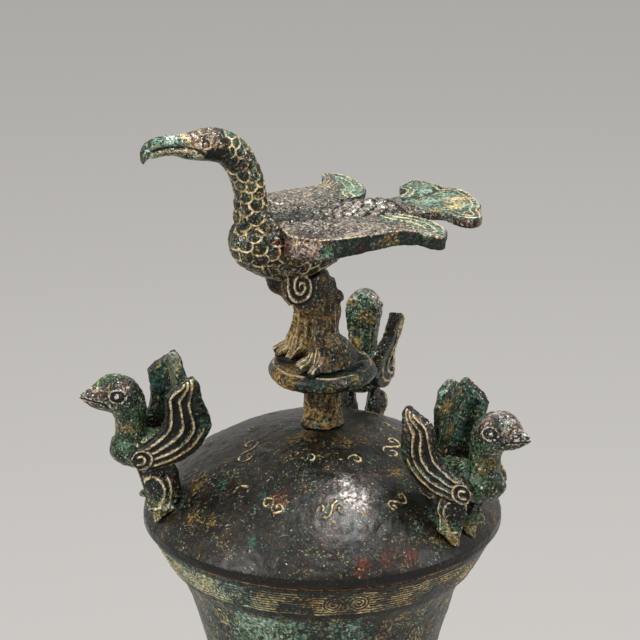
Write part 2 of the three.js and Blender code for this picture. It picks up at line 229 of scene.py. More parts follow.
# Even noise from -1 to 1 with cells of one size, the same at every run
def cloud(points, size, seed):
    scaled = points / size + np.array([seed * 7.31, seed * 3.17, seed * 5.77])
    cell = np.floor(scaled).astype(np.int64)
    part = scaled - cell
    part = part * part * (3 - 2 * part)
    total = np.zeros(len(points))
    for corner in range(8):
        step = np.array([corner & 1, corner >> 1 & 1, corner >> 2 & 1])
        mixed = (cell + step) @ np.array([73856093, 19349663, 83492791])
        mixed = (mixed ^ (mixed >> 13)) * 1274126177 & 0x7FFFFFFF
        mixed = (mixed ^ (mixed >> 15)) * 668265263 & 0x7FFFFFFF
        weight = np.prod(np.where(step, part, 1 - part), axis=1)
        total += weight * (mixed / 0x3FFFFFFF - 1)
    return total


# Distance of points from a broken line, in as many directions as the line has
def fromLine(points, line):
    nearest = np.full(len(points), 1e9)
    for a, b in zip(line[:-1], line[1:]):
        along = b - a
        share = np.clip(((points - a) @ along) / max(along @ along, 1e-9), 0, 1)
        nearest = np.minimum(nearest, np.linalg.norm(points - a - share[:, None] * along, axis=1))
    return nearest


# How far along a line each point's nearest place lies
def alongLine(points, line):
    nearest = np.full(len(points), 1e9)
    reach = np.zeros(len(points))
    passed = 0.0
    for a, b in zip(line[:-1], line[1:]):
        along = b - a
        length = np.linalg.norm(along)
        share = np.clip(((points - a) @ along) / length ** 2, 0, 1)
        gap = np.linalg.norm(points - a - share[:, None] * along, axis=1)
        better = gap < nearest
        nearest[better] = gap[better]
        reach[better] = passed + share[better] * length
        passed += length
    return reach


# A cut line: 1 in its middle and 0 past its width
def cut(distance, width):
    return np.exp(-(distance / (0.5 * width)) ** 2)


# Soft patches round places, each x, y, z, radius
def patches(points, places):
    cover = np.zeros(len(points))
    for x, y, z, radius in places:
        gap = np.linalg.norm(points - np.array([x, y, z]), axis=1)
        cover = np.maximum(cover, np.exp(-(gap / radius) ** 2))
    return cover


def neighbourMean(obj, values, rounds):
    ends = np.empty(len(obj.data.edges) * 2, np.int64)
    obj.data.edges.foreach_get("vertices", ends)
    a, b = ends.reshape(-1, 2).T
    count = len(obj.data.vertices)
    share = np.maximum(np.bincount(a, minlength=count) + np.bincount(b, minlength=count), 1)
    for turn in range(rounds):
        around = (np.bincount(a, weights=values[b], minlength=count)
                  + np.bincount(b, weights=values[a], minlength=count)) / share
        values = 0.5 * values + 0.5 * around
    return values


# Ridges that hands have worn, lightened both as wear and as painted highlight, and hollows that hold earth, from how
# the surface bends
def keepBends(obj, reach=3):
    points = readPoints(obj)
    normals = readNormals(obj)
    around = np.stack([neighbourMean(obj, points[:, k], reach) for k in range(3)], axis=1)
    bend = np.einsum("ij,ij->i", points - around, normals)
    bend = neighbourMean(obj, bend, 1)
    spread = max(np.percentile(np.abs(bend), 90), 1e-6)
    keepField(obj, "wearAndEdgeHighlight", np.clip(bend / spread, 0, 1.5))
    keepField(obj, "hollow", np.clip(-bend / spread, 0, 1.5))


# Cast feathers: rows that start at the head, each lying over the next
def featherField(points, rowPlace, pitch, covered, lineWidth):
    chosen = np.flatnonzero(covered)
    chosen = chosen[np.argsort(rowPlace[chosen], kind="stable")]
    orders, sizes = [], []
    taken = np.empty((0, 3))
    for index in chosen[::3]:
        spot = points[index]
        if len(taken) and np.min(np.linalg.norm(taken - spot, axis=1)) < pitch[index]:
            continue
        taken = np.vstack([taken, spot])
        orders.append(-rowPlace[index])
        sizes.append(pitch[index] * 0.66)
    orders, sizes = np.array(orders), np.array(sizes)
    line, dome, tone = (np.zeros(len(points)) for field in range(3))
    where = np.flatnonzero(covered)
    width = lineWidth * (1 + 0.3 * cloud(points, 2.5, 17))
    for start in range(0, len(where), 6000):
        part = where[start:start + 6000]
        gaps = np.linalg.norm(points[part][:, None, :] - taken[None], axis=2)
        over = gaps < sizes
        rank = np.where(over, orders, -1e9)
        top = np.argmax(rank, axis=1)
        none = ~over.any(axis=1)
        top[none] = np.argmin(gaps[none], axis=1)
        rows = np.arange(len(part))
        own = gaps[rows, top]
        edge = np.abs(sizes[top] - own)
        above = np.where(orders[None] > orders[top][:, None] + 0.01, gaps - sizes[None], 1e9)
        edge = np.minimum(edge, np.clip(above.min(axis=1), 0, None))
        line[part] = cut(edge, width[part])
        dome[part] = np.clip(1 - (own / sizes[top]) ** 2, 0, 1)
        tone[part] = (top * 0.618) % 1
    return line, dome, tone


# A spiral cut round a centre: flat distances across and up, the gap between its turns, its size
def spiralCut(across, up, pitch, reach, width, start=0.0, hand=1):
    radius = np.hypot(across, up)
    turn = (hand * np.arctan2(up, across) + start) / (2 * math.pi)
    phase = radius / pitch - turn
    gap = np.abs(phase - np.round(phase)) * pitch
    return cut(gap, width) * (radius < reach) * (radius > 0.25 * pitch)


# Materials

def linearColour(text):
    parts = [int(text[i:i + 2], 16) / 255 for i in (1, 3, 5)]
    return [c / 12.92 if c <= 0.04045 else ((c + 0.055) / 1.055) ** 2.4 for c in parts] + [1]


def addNode(tree, kind, settings=None, inputs=None, links=None):
    node = tree.nodes.new("ShaderNode" + kind)
    for key, value in (settings or {}).items():
        setattr(node, key, value)
    for key, value in (inputs or {}).items():
        node.inputs[key].default_value = value
    for key, source in (links or {}).items():
        tree.links.new(source, node.inputs[key])
    return node


# Old cast bronze, in layers: the dark patina that grew on the metal, then what lies over it.
# Each layer has a colour, the size of its blotches in millimetres, how much of the ground it takes,
# the mesh field that draws it to its place, and how rough it is.
def oldBronze(name, ground, layers, relief=0.26, metallic=0.3, gloss=0.32):
    material = bpy.data.materials.new(name)
    material.use_nodes = True
    tree = material.node_tree
    tree.nodes.clear()
    place = addNode(tree, "TexCoord").outputs["Object"]
    shader = addNode(tree, "BsdfPrincipled", inputs={
        "Specular IOR Level": surface["specular"], "Coat Weight": surface["coat"], "Coat Roughness": surface["coatRough"],
    })
    colour = addNode(tree, "RGB").outputs[0]
    colour.default_value = linearColour(ground)
    rough = metal = lift = None
    for number, layer in enumerate(layers):
        shifted = addNode(tree, "Mapping", inputs={
            "Location": (0.31 * number, 0.17 * number, 0.23 * number),
        }, links={"Vector": place}).outputs["Vector"]
        blotch = addNode(tree, "TexNoise", inputs={
            "Scale": 1 / (layer["size"] * mm), "Detail": 2.5 if layer["size"] < 2 else 6,
            "Roughness": 0.6 if layer["size"] < 2 else 0.72,
        }, links={"Vector": shifted}).outputs["Fac"]
        if layer.get("within"):
            zone = addNode(tree, "TexNoise", inputs={
                "Scale": 1 / (layer["within"] * mm), "Detail": 3, "Roughness": 0.55,
            }, links={"Vector": shifted}).outputs["Fac"]
            zone = addNode(tree, "MapRange", inputs={
                "From Min": 0.36, "From Max": 0.64, "To Min": -0.1, "To Max": 0.1,
            }, links={"Value": zone}).outputs["Result"]
            blotch = addNode(tree, "Math", {"operation": "ADD"}, links={0: blotch, 1: zone}).outputs[0]
        if layer.get("field"):
            drawn = addNode(tree, "Attribute", {"attribute_name": layer["field"]}).outputs["Fac"]
            blotch = addNode(tree, "Math", {"operation": "MULTIPLY_ADD"}, {1: layer["draw"]},
                             {0: drawn, 2: blotch}).outputs[0]
        edge = layer.get("edge", 0.05)
        cover = addNode(tree, "MapRange", {"interpolation_type": "SMOOTHSTEP"}, {
            "From Min": layer["above"] - edge, "From Max": layer["above"] + edge,
            "To Min": 0, "To Max": layer.get("strength", 1),
        }, {"Value": blotch}).outputs["Result"]
        colour = addNode(tree, "Mix", {"data_type": "RGBA"}, {7: linearColour(layer["colour"])},
                         {0: cover, 6: colour}).outputs[2]
        rough = addNode(tree, "Mix", {"data_type": "FLOAT"}, {2: gloss, 3: layer["rough"]},
                        {0: cover, **({2: rough} if rough else {})}).outputs[0]
        metal = addNode(tree, "Mix", {"data_type": "FLOAT"}, {2: metallic, 3: layer.get("metal", 0.05)},
                        {0: cover, **({2: metal} if metal else {})}).outputs[0]
        if layer.get("crust"):
            lift = addNode(tree, "Math", {"operation": "MULTIPLY_ADD"}, {1: layer["crust"], 2: 0},
                           {0: cover, **({2: lift} if lift else {})}).outputs[0]
    # Sandy grain of the corroded skin, light and dark
    sand = addNode(tree, "TexNoise", inputs={"Scale": 1 / (surface["sand"] * mm), "Detail": 2.5, "Roughness": 0.7},
                   links={"Vector": place}).outputs["Fac"]
    shade = addNode(tree, "MapRange", inputs={
        "From Min": 0.36, "From Max": 0.64, "To Min": surface["sandDark"], "To Max": surface["sandLight"],
    }, links={"Value": sand}).outputs["Result"]
    colour = addNode(tree, "Mix", {"data_type": "RGBA", "blend_type": "MULTIPLY"}, {0: 1.0},
                     {6: colour, 7: shade}).outputs[2]
    height = addNode(tree, "Math", {"operation": "MULTIPLY_ADD"}, {1: 1.0, 2: 0},
                     {0: sand, **({2: lift} if lift else {})}).outputs[0]
    bump = addNode(tree, "Bump", inputs={"Strength": 0.9, "Distance": relief * mm}, links={"Height": height})
    for socket, source in (("Base Color", colour), ("Roughness", rough), ("Metallic", metal),
                           ("Normal", bump.outputs["Normal"])):
        tree.links.new(source, shader.inputs[socket])
    addNode(tree, "OutputMaterial", links={"Surface": shader.outputs["BSDF"]})
    return material


# What all the finishes share: the sandy grain in millimetres and how it shades, and the skin's gloss
surface = {"sand": 1.0, "sandDark": 0.45, "sandLight": 1.7, "specular": 0.3, "coat": 0.14, "coatRough": 0.2}


# Colours of the patina, as sRGB
patina = {
    "black": "#0f0f0c",
    "olive": "#232319",
    "brown": "#35271a",
    "plum": "#45322f",
    "mauve": "#6d615b",
    # This silver serves silvery patina and painted highlights
    "silver": "#b9b0a8",
    "white": "#e2dbd0",
    "deep": "#14231d",
    "teal": "#285043",
    "leaf": "#3f6341",
    "sage": "#7b9a82",
    "ice": "#b6d0bc",
    "ochre": "#86692f",
    "rust": "#8a5427",
    "tan": "#b89a5e",
    "cream": "#dccba0",
    "rose": "#bb9680",
    "red": "#55220f",
    "copper": "#a5764a",
}

# Layers that more than one finish has
speckle = {"colour": patina["tan"], "size": 1.2, "within": 9, "above": 0.6, "rough": 0.6, "strength": 0.8}
greenDust = {"colour": patina["sage"], "size": 1.1, "within": 8, "above": 0.62, "rough": 0.6, "strength": 0.75}


paleDust = {"colour": patina["cream"], "size": 1.0, "within": 7, "above": 0.65, "rough": 0.5, "strength": 0.85}


blackDust = {"colour": patina["black"], "size": 1.3, "within": 6, "above": 0.56, "rough": 0.36, "strength": 0.85}


glint = {"colour": patina["white"], "size": 0.9, "within": 6, "above": 0.67, "rough": 0.25, "metal": 0.5,
         "strength": 0.9}
ridgeCream = {"colour": patina["cream"], "size": 1.6, "above": 0.93, "field": "ridge", "draw": 0.62,
              "edge": 0.12, "rough": 0.55, "metal": 0.05, "strength": 0.9}


ridgeTan = {"colour": patina["tan"], "size": 1.4, "above": 0.76, "field": "ridge", "draw": 0.5,
            "edge": 0.1, "rough": 0.6, "metal": 0.05, "strength": 0.8}


# Painted shade: black laid into grooves, pits and the dips between raised lines, where shade falls
grooveShade = {"colour": patina["black"], "size": 1.5, "above": 0.82, "field": "groove", "draw": 0.7,
              "edge": 0.15, "rough": 0.4, "metal": 0.2, "strength": 0.9}
hollowEarth = {"colour": patina["tan"], "size": 1.6, "above": 1.04, "field": "hollow", "draw": 0.42,
               "edge": 0.12, "rough": 0.8, "metal": 0.0, "strength": 0.6, "crust": 0.3}
# Pale on convex ridges: worn metal, and a painted highlight along the edges
wornRidgeAndHighlight = {"colour": patina["white"], "size": 1.0, "above": 0.94, "field": "wearAndEdgeHighlight", "draw": 0.36,
             "edge": 0.1, "rough": 0.28, "metal": 0.4, "strength": 0.75}


def place(field, colour, size, draw=0.55, above=0.72, **more):
    return {"colour": patina[colour], "size": size, "above": above, "field": field, "draw": draw,
            "rough": 0.62, "metal": 0.05, **more}


print("tools ready")


# Vessel: thin cast wall, a slanting band under the lip, a narrow neck, a full belly and a ring foot
vesselLook = {
    "steps": 480,
    "bandSpiral": 4.6,
    "bandPitch": 1.5,
    "bandLine": 0.75,
    "pairs": 8,
    "pairTurn": 7.9,
    "pairGap": 9.8,
    "blades": 10,
    "lineRise": 0.42,
}


def vesselProfile():
    side = smoothLine([
        (54, 7), (50, 19.2), (43.5, 32), (41, 50), (52.9, 65), (58, 82), (53, 97), (43, 112),
        (45.3, 134.5), (56.1, 175.8), (62, 188.5),
    ], 12)
    foot = [(0, 46), (12, 46), (24, 46), (35, 46), (36.6, 45), (37.2, 40), (41, 31), (47, 16.5), (50.6, 5.5),
            (51, 0), (54.2, 0), (54.8, 0.5), (55, 1.5), (55, 5.4), (54.8, 6.2)]
    band = evenLine([(64.5, 190), (73, 206)], 0.8)
    top = [(63.6, 189.1), (64.2, 189.4), *band[1:-1], (72.8, 205.6), (72.9, 206.3), (72.4, 207),
           (71.2, 207.8), (70.6, 208), (68.6, 208), (66.9, 207.9), (66.5, 207.5)]
    inner = [(66.5, 203), (66.5, 198), (66, 197.2), (60, 190), (56, 184), *[
        (r - 4, z) for r, z in side[::-4] if 56 < z < 182
    ], (39, 54), (37, 51.5), (34, 50), (20, 50), (8, 50), (0, 50)]
    return [*foot, *evenLine(side, 1.15), *top, *inner]


def vesselOrnament(points):
    look = vesselLook
    radius = np.hypot(points[:, 0], points[:, 1])
    turn = np.degrees(np.arctan2(points[:, 0], -points[:, 1]))
    height = points[:, 2] + 0.35 * cloud(points, 11, 18)
    outside = radius > 64 - 2.5 + (height < 190) * -40
    ridge = np.zeros(len(points))
    # The band: paired spirals, and lines that run from pair to pair
    onBand = outside & (height > 189.6) & (height < 206.2)
    up = (height - 198) / math.cos(math.radians(28)) * 0.98
    step = 360 / look["pairs"]
    local = (turn - look["pairTurn"] + step / 2) % step - step / 2
    across = np.radians(local) * np.clip(radius, 60, 75)
    half = look["pairGap"] / 2
    fromSpiral = np.minimum(np.hypot(across - half, up), np.hypot(across + half, up))
    lines = np.abs((up / look["bandPitch"] + 0.5) % 1 - 0.5) * look["bandPitch"]
    clear = fromSpiral > look["bandSpiral"] + 0.5
    ridge = np.where(onBand & clear & (np.abs(up) < 6.4), cut(lines, look["bandLine"]), ridge)
    for side in (-1, 1):
        spiral = spiralCut(side * (across - side * half), up, look["bandPitch"], look["bandSpiral"] + 0.4,
                           look["bandLine"], start=math.pi / 2)
        ridge = np.where(onBand, np.maximum(ridge, spiral), ridge)
    # The neck: rising blades with a spiral in each foot
    onNeck = (height > 120) & (height < 187) & (radius > 41)
    step = 360 / look["blades"]
    local = (turn - look["pairTurn"] + step / 2) % step - step / 2
    across = np.radians(local) * radius
    width = np.radians(step) * radius * 0.46
    rise = (height - 124) / 52
    edge = width * (1 - np.clip(rise, 0, 1) ** 1.6)
    for inset in (0.0, 2.1):
        line = cut(np.abs(np.abs(across) - (edge - inset)) * 0.9, 0.8) * (rise > 0) * (rise < 0.97 - inset * 0.04)
        ridge = np.where(onNeck, np.maximum(ridge, line), ridge)
    for level, size in ((131, 4.4), (141.5, 3.4)):
        for side in (-1, 1):
            spiral = spiralCut(side * (across - side * (size + 0.9)), height - level, 1.7, size, 0.75)
            ridge = np.where(onNeck, np.maximum(ridge, spiral), ridge)
    for side in (-1, 1):
        far = np.abs(across) - np.radians(step) * radius / 2
        spiral = spiralCut(far * side, height - 178.5, 1.7, 4.0, 0.75)
        ridge = np.where(onNeck & (np.sign(across) == side), np.maximum(ridge, spiral), ridge)
    # Bowstring lines round the neck's foot, the belly and the foot
    for level in (120.5, 118, 96.5, 94, 66, 63.5, 13, 10.8):
        onLine = radius > 38 + (height > 60) * 2
        ridge = np.where(onLine, np.maximum(ridge, cut(np.abs(height - level), 0.9)), ridge)
    worn = np.clip(0.62 + 0.75 * cloud(points, 8, 19) + 0.35 * cloud(points, 2.2, 20), 0, 1)
    return ridge * worn


def buildVessel():
    obj = spinProfile("vessel", vesselProfile(), vesselLook["steps"])

    def fine(places):
        radius = np.hypot(places[:, 0], places[:, 1])
        return (places[:, 2] > 189.4) & (places[:, 2] < 206.4) & (radius > 63)

    cutFiner(obj, fine)
    points, normals = readPoints(obj), readNormals(obj)
    height = points[:, 2]
    radius = np.hypot(points[:, 0], points[:, 1])
    ridge = vesselOrnament(points)
    outward = ease(-0.2, 0.6, (normals[:, :2] * points[:, :2]).sum(axis=1) / np.maximum(radius, 1))
    lumps = 0.18 * cloud(points, 9, 1) + 0.14 * cloud(points, 3.4, 2) + 0.1 * cloud(points, 1.4, 3) - 0.34
    pits = ease(0.5, 0.8, cloud(points, 2.2, 23)) * ease(-0.2, 0.3, cloud(points, 15, 24))
    calm = ease(0, 3, height)
    move = lumps - 0.18 * pits + vesselLook["lineRise"] * (ridge - 0.5)
    writePoints(obj, points + normals * (move * outward * calm)[:, None])
    keepBends(obj)
    turn = np.degrees(np.arctan2(points[:, 0], -points[:, 1]))
    neck = ease(189, 184, height)
    band = ease(188, 190, height) * ease(207, 206, height)
    keepFields(
        obj,
        ridge=ridge * outward,
        # Pits and the dips between the band's lines, which the finish darkens as painted shade
        groove=np.maximum(pits, 0.75 * band * ease(0.4, 0.05, ridge)) * outward,
        pale=band * (1.1 * np.exp(-((turn + 44) / 24) ** 2) + 0.4 * np.exp(-((turn - 150) / 40) ** 2))
        + neck * ease(150, 186, height) * (0.9 * np.exp(-((turn + 24) / 20) ** 2)
                                           + 0.5 * np.exp(-((turn - 12) / 10) ** 2))
        + 0.3 * ease(70, 40, height),
        red=neck * np.exp(-((turn - 26) / 12) ** 2) * 0.5 + band * np.exp(-((turn - 12) / 22) ** 2) * 0.4,
        bright=cut(np.abs(height - 206.9), 1.2) * (radius > 71),
    )
    return obj


vesselBronze = oldBronze("agedCastBronzeVessel", patina["black"], [
    # The casting's own ground goes from green-black to brown in wide, soft areas
    {"colour": patina["brown"], "size": 14, "above": 0.5, "edge": 0.08, "rough": 0.42, "strength": 0.95},
    {"colour": patina["olive"], "size": 5, "above": 0.53, "edge": 0.06, "rough": 0.38, "strength": 0.9},
    place("red", "red", 4, draw=0.4, above=0.72, rough=0.45, strength=0.8),
    place("red", "copper", 1.6, draw=0.3, above=0.8, rough=0.4, strength=0.8),
    place("pale", "teal", 5, draw=0.24, above=0.6, edge=0.06, rough=0.6, strength=0.95),
    place("pale", "sage", 3, draw=0.26, above=0.66, edge=0.05, rough=0.66, strength=0.95, crust=0.5),
    place("pale", "ice", 1.6, draw=0.24, above=0.72, edge=0.05, rough=0.7, strength=0.9, crust=0.4),
    {**speckle, "above": 0.64}, {**greenDust, "above": 0.63}, {**paleDust, "above": 0.71}, blackDust,
    {**glint, "above": 0.76},
    {**hollowEarth, "above": 1.08},
    {**grooveShade, "above": 0.88},
    {**ridgeTan, "strength": 0.8},
    {**ridgeCream, "above": 0.94, "strength": 0.85},
    # Cream on worn ridges: wear, and painted highlight
    {**wornRidgeAndHighlight, "colour": patina["cream"], "strength": 0.6},
    place("bright", "copper", 2.5, draw=0.5, above=0.8, rough=0.33, metal=0.6),
], gloss=0.33)


# Lid: a shallow dome with a low upright edge, and a tongue inside the mouth
lidLook = {
    "steps": 500,
    "domeRadius": 94.5135,
    "domeMiddle": -57.5135,
    "outerRing": 53,
    "outerScrolls": 14,
    "innerRing": 31,
    "innerScrolls": 9,
    "scrollSize": 3.5,
    "lineRise": 0.42,
    "lineWidth": 0.8,
}


def domeHeight(radius, sphere=None):
    sphere = sphere or lidLook["domeRadius"]
    return math.sqrt(sphere ** 2 - radius ** 2) + lidLook["domeMiddle"]


def lidProfile():
    sphere = lidLook["domeRadius"]
    seat = domeHeight(9.3)
    outer = []
    for i in range(84):
        turn = math.asin(9.3 / sphere) + (math.asin(74.2 / sphere) - math.asin(9.3 / sphere)) * i / 83
        outer.append((sphere * math.sin(turn), sphere * math.cos(turn) + lidLook["domeMiddle"]))
    edge = [(74.6, 0.15), (74.9, -0.35), (75, -1), (75, -1.8), (75, -2.6), (74.9, -3.4), (74.5, -3.9), (73.8, -4)]
    tongue = [(70, -4), (65.6, -4), (65.5, -5), (65.5, -9), (65.4, -12.6), (65, -13), (63, -13), (62.5, -12.5)]
    hollow = [(r, domeHeight(r, sphere - 3.5)) for r in (62.5, 58, 50, 42, 34, 26, 18, 12, 9, 5.3)]
    return [(5.3, seat), *outer, *edge, *tongue, *hollow, (5.3, seat)]


# A plain scroll of two spirals, turned the opposite way to each other
def scrollLine(size):
    turns = np.linspace(0.12, 1, 22)
    angle = turns * 2.6 * math.pi
    end = 2.6 * math.pi
    curl = np.stack([-size + size * turns * np.cos(angle - end), size * turns * np.sin(angle - end)], axis=1)
    return np.vstack([curl, -curl[::-1]])


def lidOrnament(points):
    look = lidLook
    ridge = np.zeros(len(points))
    outer = points[:, 2] > 0.5
    rings = ((look["outerRing"], look["outerScrolls"], 4), (look["innerRing"], look["innerScrolls"], 20))
    for ring, count, lead in rings:
        for number in range(count):
            line = scrollLine(look["scrollSize"] * (1 + 0.22 * math.sin(number * 2.1 + ring)))
            turn = math.radians(lead + 360 * number / count + 4 * math.sin(number * 1.7))
            away = np.array([math.sin(turn), -math.cos(turn)])
            aside = np.array([math.cos(turn), math.sin(turn)])
            flat = points[:, :2] - away * (ring + 3.2 * math.sin(number * 2.9))
            near = outer & (np.abs(flat @ aside) < 12) & (np.abs(flat @ away) < 9)
            lean = math.radians(34 * math.sin(number * 2.4))
            hand = 1 if number % 2 else -1
            u, v = flat[near] @ aside, flat[near] @ away * hand
            turned = np.stack([u * math.cos(lean) - v * math.sin(lean),
                               u * math.sin(lean) + v * math.cos(lean)], axis=1)
            turned += 0.6 * np.stack([cloud(points[near], 3.4, 25), cloud(points[near], 3.4, 26)], axis=1)
            ridge[near] = np.maximum(ridge[near], cut(fromLine(turned, line), look["lineWidth"]))
    worn = np.clip(0.5 + 0.9 * cloud(points, 6, 27) + 0.5 * cloud(points, 1.8, 28), 0, 1)
    return ridge * worn


def buildLid():
    obj = spinProfile("lidShell", lidProfile(), lidLook["steps"])
    cutFiner(obj, lambda places: (lidOrnament(places) > 0.02))
    points, normals = readPoints(obj), readNormals(obj)
    radius = np.hypot(points[:, 0], points[:, 1])
    ridge = lidOrnament(points)
    shown = ease(-4.2, -3.4, points[:, 2]) * ease(0.05, 0.3, normals[:, 2] + 0.6 * (radius > 74)) * (radius > 9)
    lumps = 0.24 * cloud(points, 14, 4) + 0.18 * cloud(points, 5, 5) + 0.12 * cloud(points, 1.8, 6) - 0.42
    pits = ease(0.45, 0.8, cloud(points, 2.4, 7)) * ease(-0.2, 0.3, cloud(points, 17, 8))
    move = lumps - 0.2 * pits + lidLook["lineRise"] * (ridge - 0.4)
    writePoints(obj, points + normals * (move * shown)[:, None])
    keepBends(obj)
    keepFields(
        obj,
        ridge=ridge * shown,
        groove=pits,
        earth=0.85 * patches(points, [
            (-7, -13, 36, 9), (-14, -14, 34, 7), (9, -16, 34, 8), (16, -12, 34, 6), (0, 14, 36, 12), (50, -49, 5, 6),
            (-50, -38, 8, 8), (-52, -22, 18, 9), (17, -52.5, 19, 4), (44, -52, 6, 6), (-44, -44, 10, 7),
            (30, -30, 26, 6),
        ]),
        teal=patches(points, [(-24, -44, 22, 4.5), (-28, -60, 10, 4.5), (-40, -30, 22, 6), (40, 30, 16, 14)]),
        pale=patches(points, [(45, -43, 13.5, 7), (38, -50, 12, 5), (-20, 50, 15, 12), (-58, -20, 14, 7)]),
        plum=patches(points, [(8, -48, 23, 11), (16, -38, 26, 9), (4, -60, 14, 7)]),
        # Painted highlight: a pale glossy patch on the dome's front where the top lamp's reflection falls
        glow=patches(points, [(13, -48, 23, 6.5), (9, -40, 26, 3.5)]),
        red=patches(points, [(15, -71, 3, 6), (27, -66, 5, 6), (35, -63, 5, 5), (-60, 30, 8, 14), (-16, -46, 22, 6)]),
        edge=ease(73.9, 74.7, radius) * ease(0.6, -0.4, points[:, 2]),
    )
    return obj


lidBronze = oldBronze("agedCastBronzeLid", patina["black"], [
    {"colour": patina["brown"], "size": 12, "above": 0.52, "edge": 0.08, "rough": 0.38, "strength": 0.9},
    {"colour": patina["olive"], "size": 6, "above": 0.54, "edge": 0.06, "rough": 0.4, "strength": 0.9},
    place("plum", "plum", 7, draw=0.3, above=0.7, edge=0.12, rough=0.34, strength=0.75, metal=0.25),
    place("plum", "mauve", 2.4, draw=0.24, above=0.8, edge=0.1, rough=0.3, strength=0.5, metal=0.3),
    # Painted highlight on the dome's front, laid in silver
    place("glow", "silver", 2.0, draw=0.4, above=0.72, edge=0.16, rough=0.3, strength=0.8, metal=0.3),
    place("red", "red", 3, draw=0.4, above=0.74, rough=0.42, strength=0.85),
    {"colour": patina["deep"], "size": 4, "above": 0.56, "edge": 0.05, "rough": 0.45, "strength": 0.8},
    place("teal", "teal", 2.5, draw=0.3, above=0.76, rough=0.5, strength=0.9),
    place("teal", "leaf", 1.3, draw=0.22, above=0.82, rough=0.5, strength=0.85),
    place("pale", "sage", 2.2, draw=0.3, above=0.78, rough=0.55, strength=0.85),
    place("pale", "ice", 1.3, draw=0.24, above=0.84, rough=0.55, strength=0.85),
    place("earth", "ochre", 2.0, draw=0.36, above=0.78, rough=0.75, strength=0.9, crust=0.5),
    place("earth", "tan", 1.4, draw=0.32, above=0.88, rough=0.8, strength=0.8, crust=0.4),
    {**speckle, "above": 0.7, "strength": 0.6}, {**greenDust, "above": 0.69, "strength": 0.6},
    {**paleDust, "above": 0.76}, {**blackDust, "above": 0.53}, {**glint, "above": 0.77},
    {**grooveShade, "above": 0.9},
    {**ridgeTan, "strength": 0.85},
    {**ridgeCream, "above": 0.9},
    {**wornRidgeAndHighlight, "above": 1.05, "strength": 0.4},
    place("edge", "black", 20, draw=0.9, above=1.0, rough=0.26, strength=0.8),
], gloss=0.31, relief=0.22)


def toPlace(obj, matrix):
    obj.data.transform(matrix)
    obj.data.update()


def dress(obj, body, covers, material):
    pick(obj)
    bpy.ops.object.shade_smooth()
    obj.data.materials.clear()
    obj.data.materials.append(material)
    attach(obj, body)
    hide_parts(*covers)
    return obj


shrink = Matrix.Scale(mm, 4)
onFloor = Matrix.Translation(axis) @ shrink
onRim = onFloor @ Matrix.Translation((0, 0, rimLevel))

vessel = buildVessel()
toPlace(vessel, onFloor)
dress(vessel, "vessel", ["vessel_body"], vesselBronze)
print("vessel", len(vessel.data.polygons))

lid = buildLid()
toPlace(lid, onRim)
dress(lid, "lid", ["lid"], lidBronze)
print("lid", len(lid.data.polygons))


# Post and perch
perchLook = {"postRadius": 8.1, "postFoot": 9.1, "radius": 22.5, "height": 9, "top": 64, "rimLine": 20.2}


def buildPost():
    foot = domeHeight(9.3)
    side = smoothLine([(9.1, foot), (8.4, foot + 1.6), (8.1, foot + 5), (8.0, foot + 10), (8.2, foot + 15.5),
                       (8.7, 55)], 12)
    profile = [(0, foot - 6.6), (6.6, foot - 6.6), (7.8, foot - 5.2), (7.6, foot - 4.2), (5, foot - 4.1),
               (5, foot), *side, (5, 55.1), (5, 59.6), (0, 59.6)]
    obj = spinProfile("post", profile, 220)
    points, normals = readPoints(obj), readNormals(obj)
    shown = ease(foot - 0.5, foot + 0.3, points[:, 2]) * (np.hypot(points[:, 0], points[:, 1]) > 6)
    pits = ease(0.1, 0.6, cloud(points, 1.7, 11))
    rough = 0.34 * cloud(points, 5, 12) + 0.22 * cloud(points, 1.5, 13) - 0.32 - 0.34 * pits
    writePoints(obj, points + normals * (rough * shown)[:, None])
    keepBends(obj, 4)
    keepFields(
        obj,
        groove=pits,
        red=patches(points, [(7, -5, 50, 5), (7.5, -3, 44, 5), (3, -8, 47, 3), (-7, 5, 50, 6)]),
        pale=patches(points, [(-3, -8, 38, 4), (1, -8, 40, 3), (-5, 6, 42, 5)]),
        earth=np.full(len(points), 0.9),
    )
    return obj


def buildPerch():
    look = perchLook
    middle = look["top"] - look["height"] / 2
    half = look["height"] / 2
    side = [(look["radius"] - 6 + 6 * math.cos(turn), middle + half * math.sin(turn))
            for turn in np.linspace(-math.pi / 2, math.pi / 2, 40)]
    top = [(r, look["top"]) for r in (15.5, 14.3, 12.8, 11, 9, 7, 5, 3)]
    profile = [(0, 60), (5.3, 60), (5.3, 55.2), (5.8, 55), (9, 55), (12, 55), (14.5, 55), *side, *top, (0, 64)]
    obj = spinProfile("perch", profile, 360)
    points, normals = readPoints(obj), readNormals(obj)
    radius = np.hypot(points[:, 0], points[:, 1])
    turn = np.degrees(np.arctan2(points[:, 0], -points[:, 1]))
    wander = 0.5 * cloud(points, 9, 41)
    rim = cut(np.abs(radius - look["rimLine"] + wander), 1.0) * (points[:, 2] > middle)
    rim = rim * np.clip(0.75 + 0.8 * cloud(points, 5, 16), 0, 1)
    shown = ease(7, 9, radius)
    rough = 0.26 * cloud(points, 6, 14) + 0.16 * cloud(points, 2.2, 15) + 0.09 * cloud(points, 1.1, 42) - 0.42
    writePoints(obj, points + normals * ((rough + 0.3 * rim) * shown)[:, None])
    keepBends(obj, 4)
    left = np.exp(-((turn + 52) / 24) ** 2)
    keepFields(
        obj,
        ridge=rim,
        earth=left + 0.8 * patches(points, [(3, -22.5, 59, 2.4), (14, -17, 62, 3)])
        + 0.6 * np.exp(-((np.abs(turn) - 170) / 30) ** 2),
        teal=0.9 * (1 - left),
        silver=patches(points, [(8, -20, 62, 5)]),
    )
    return obj


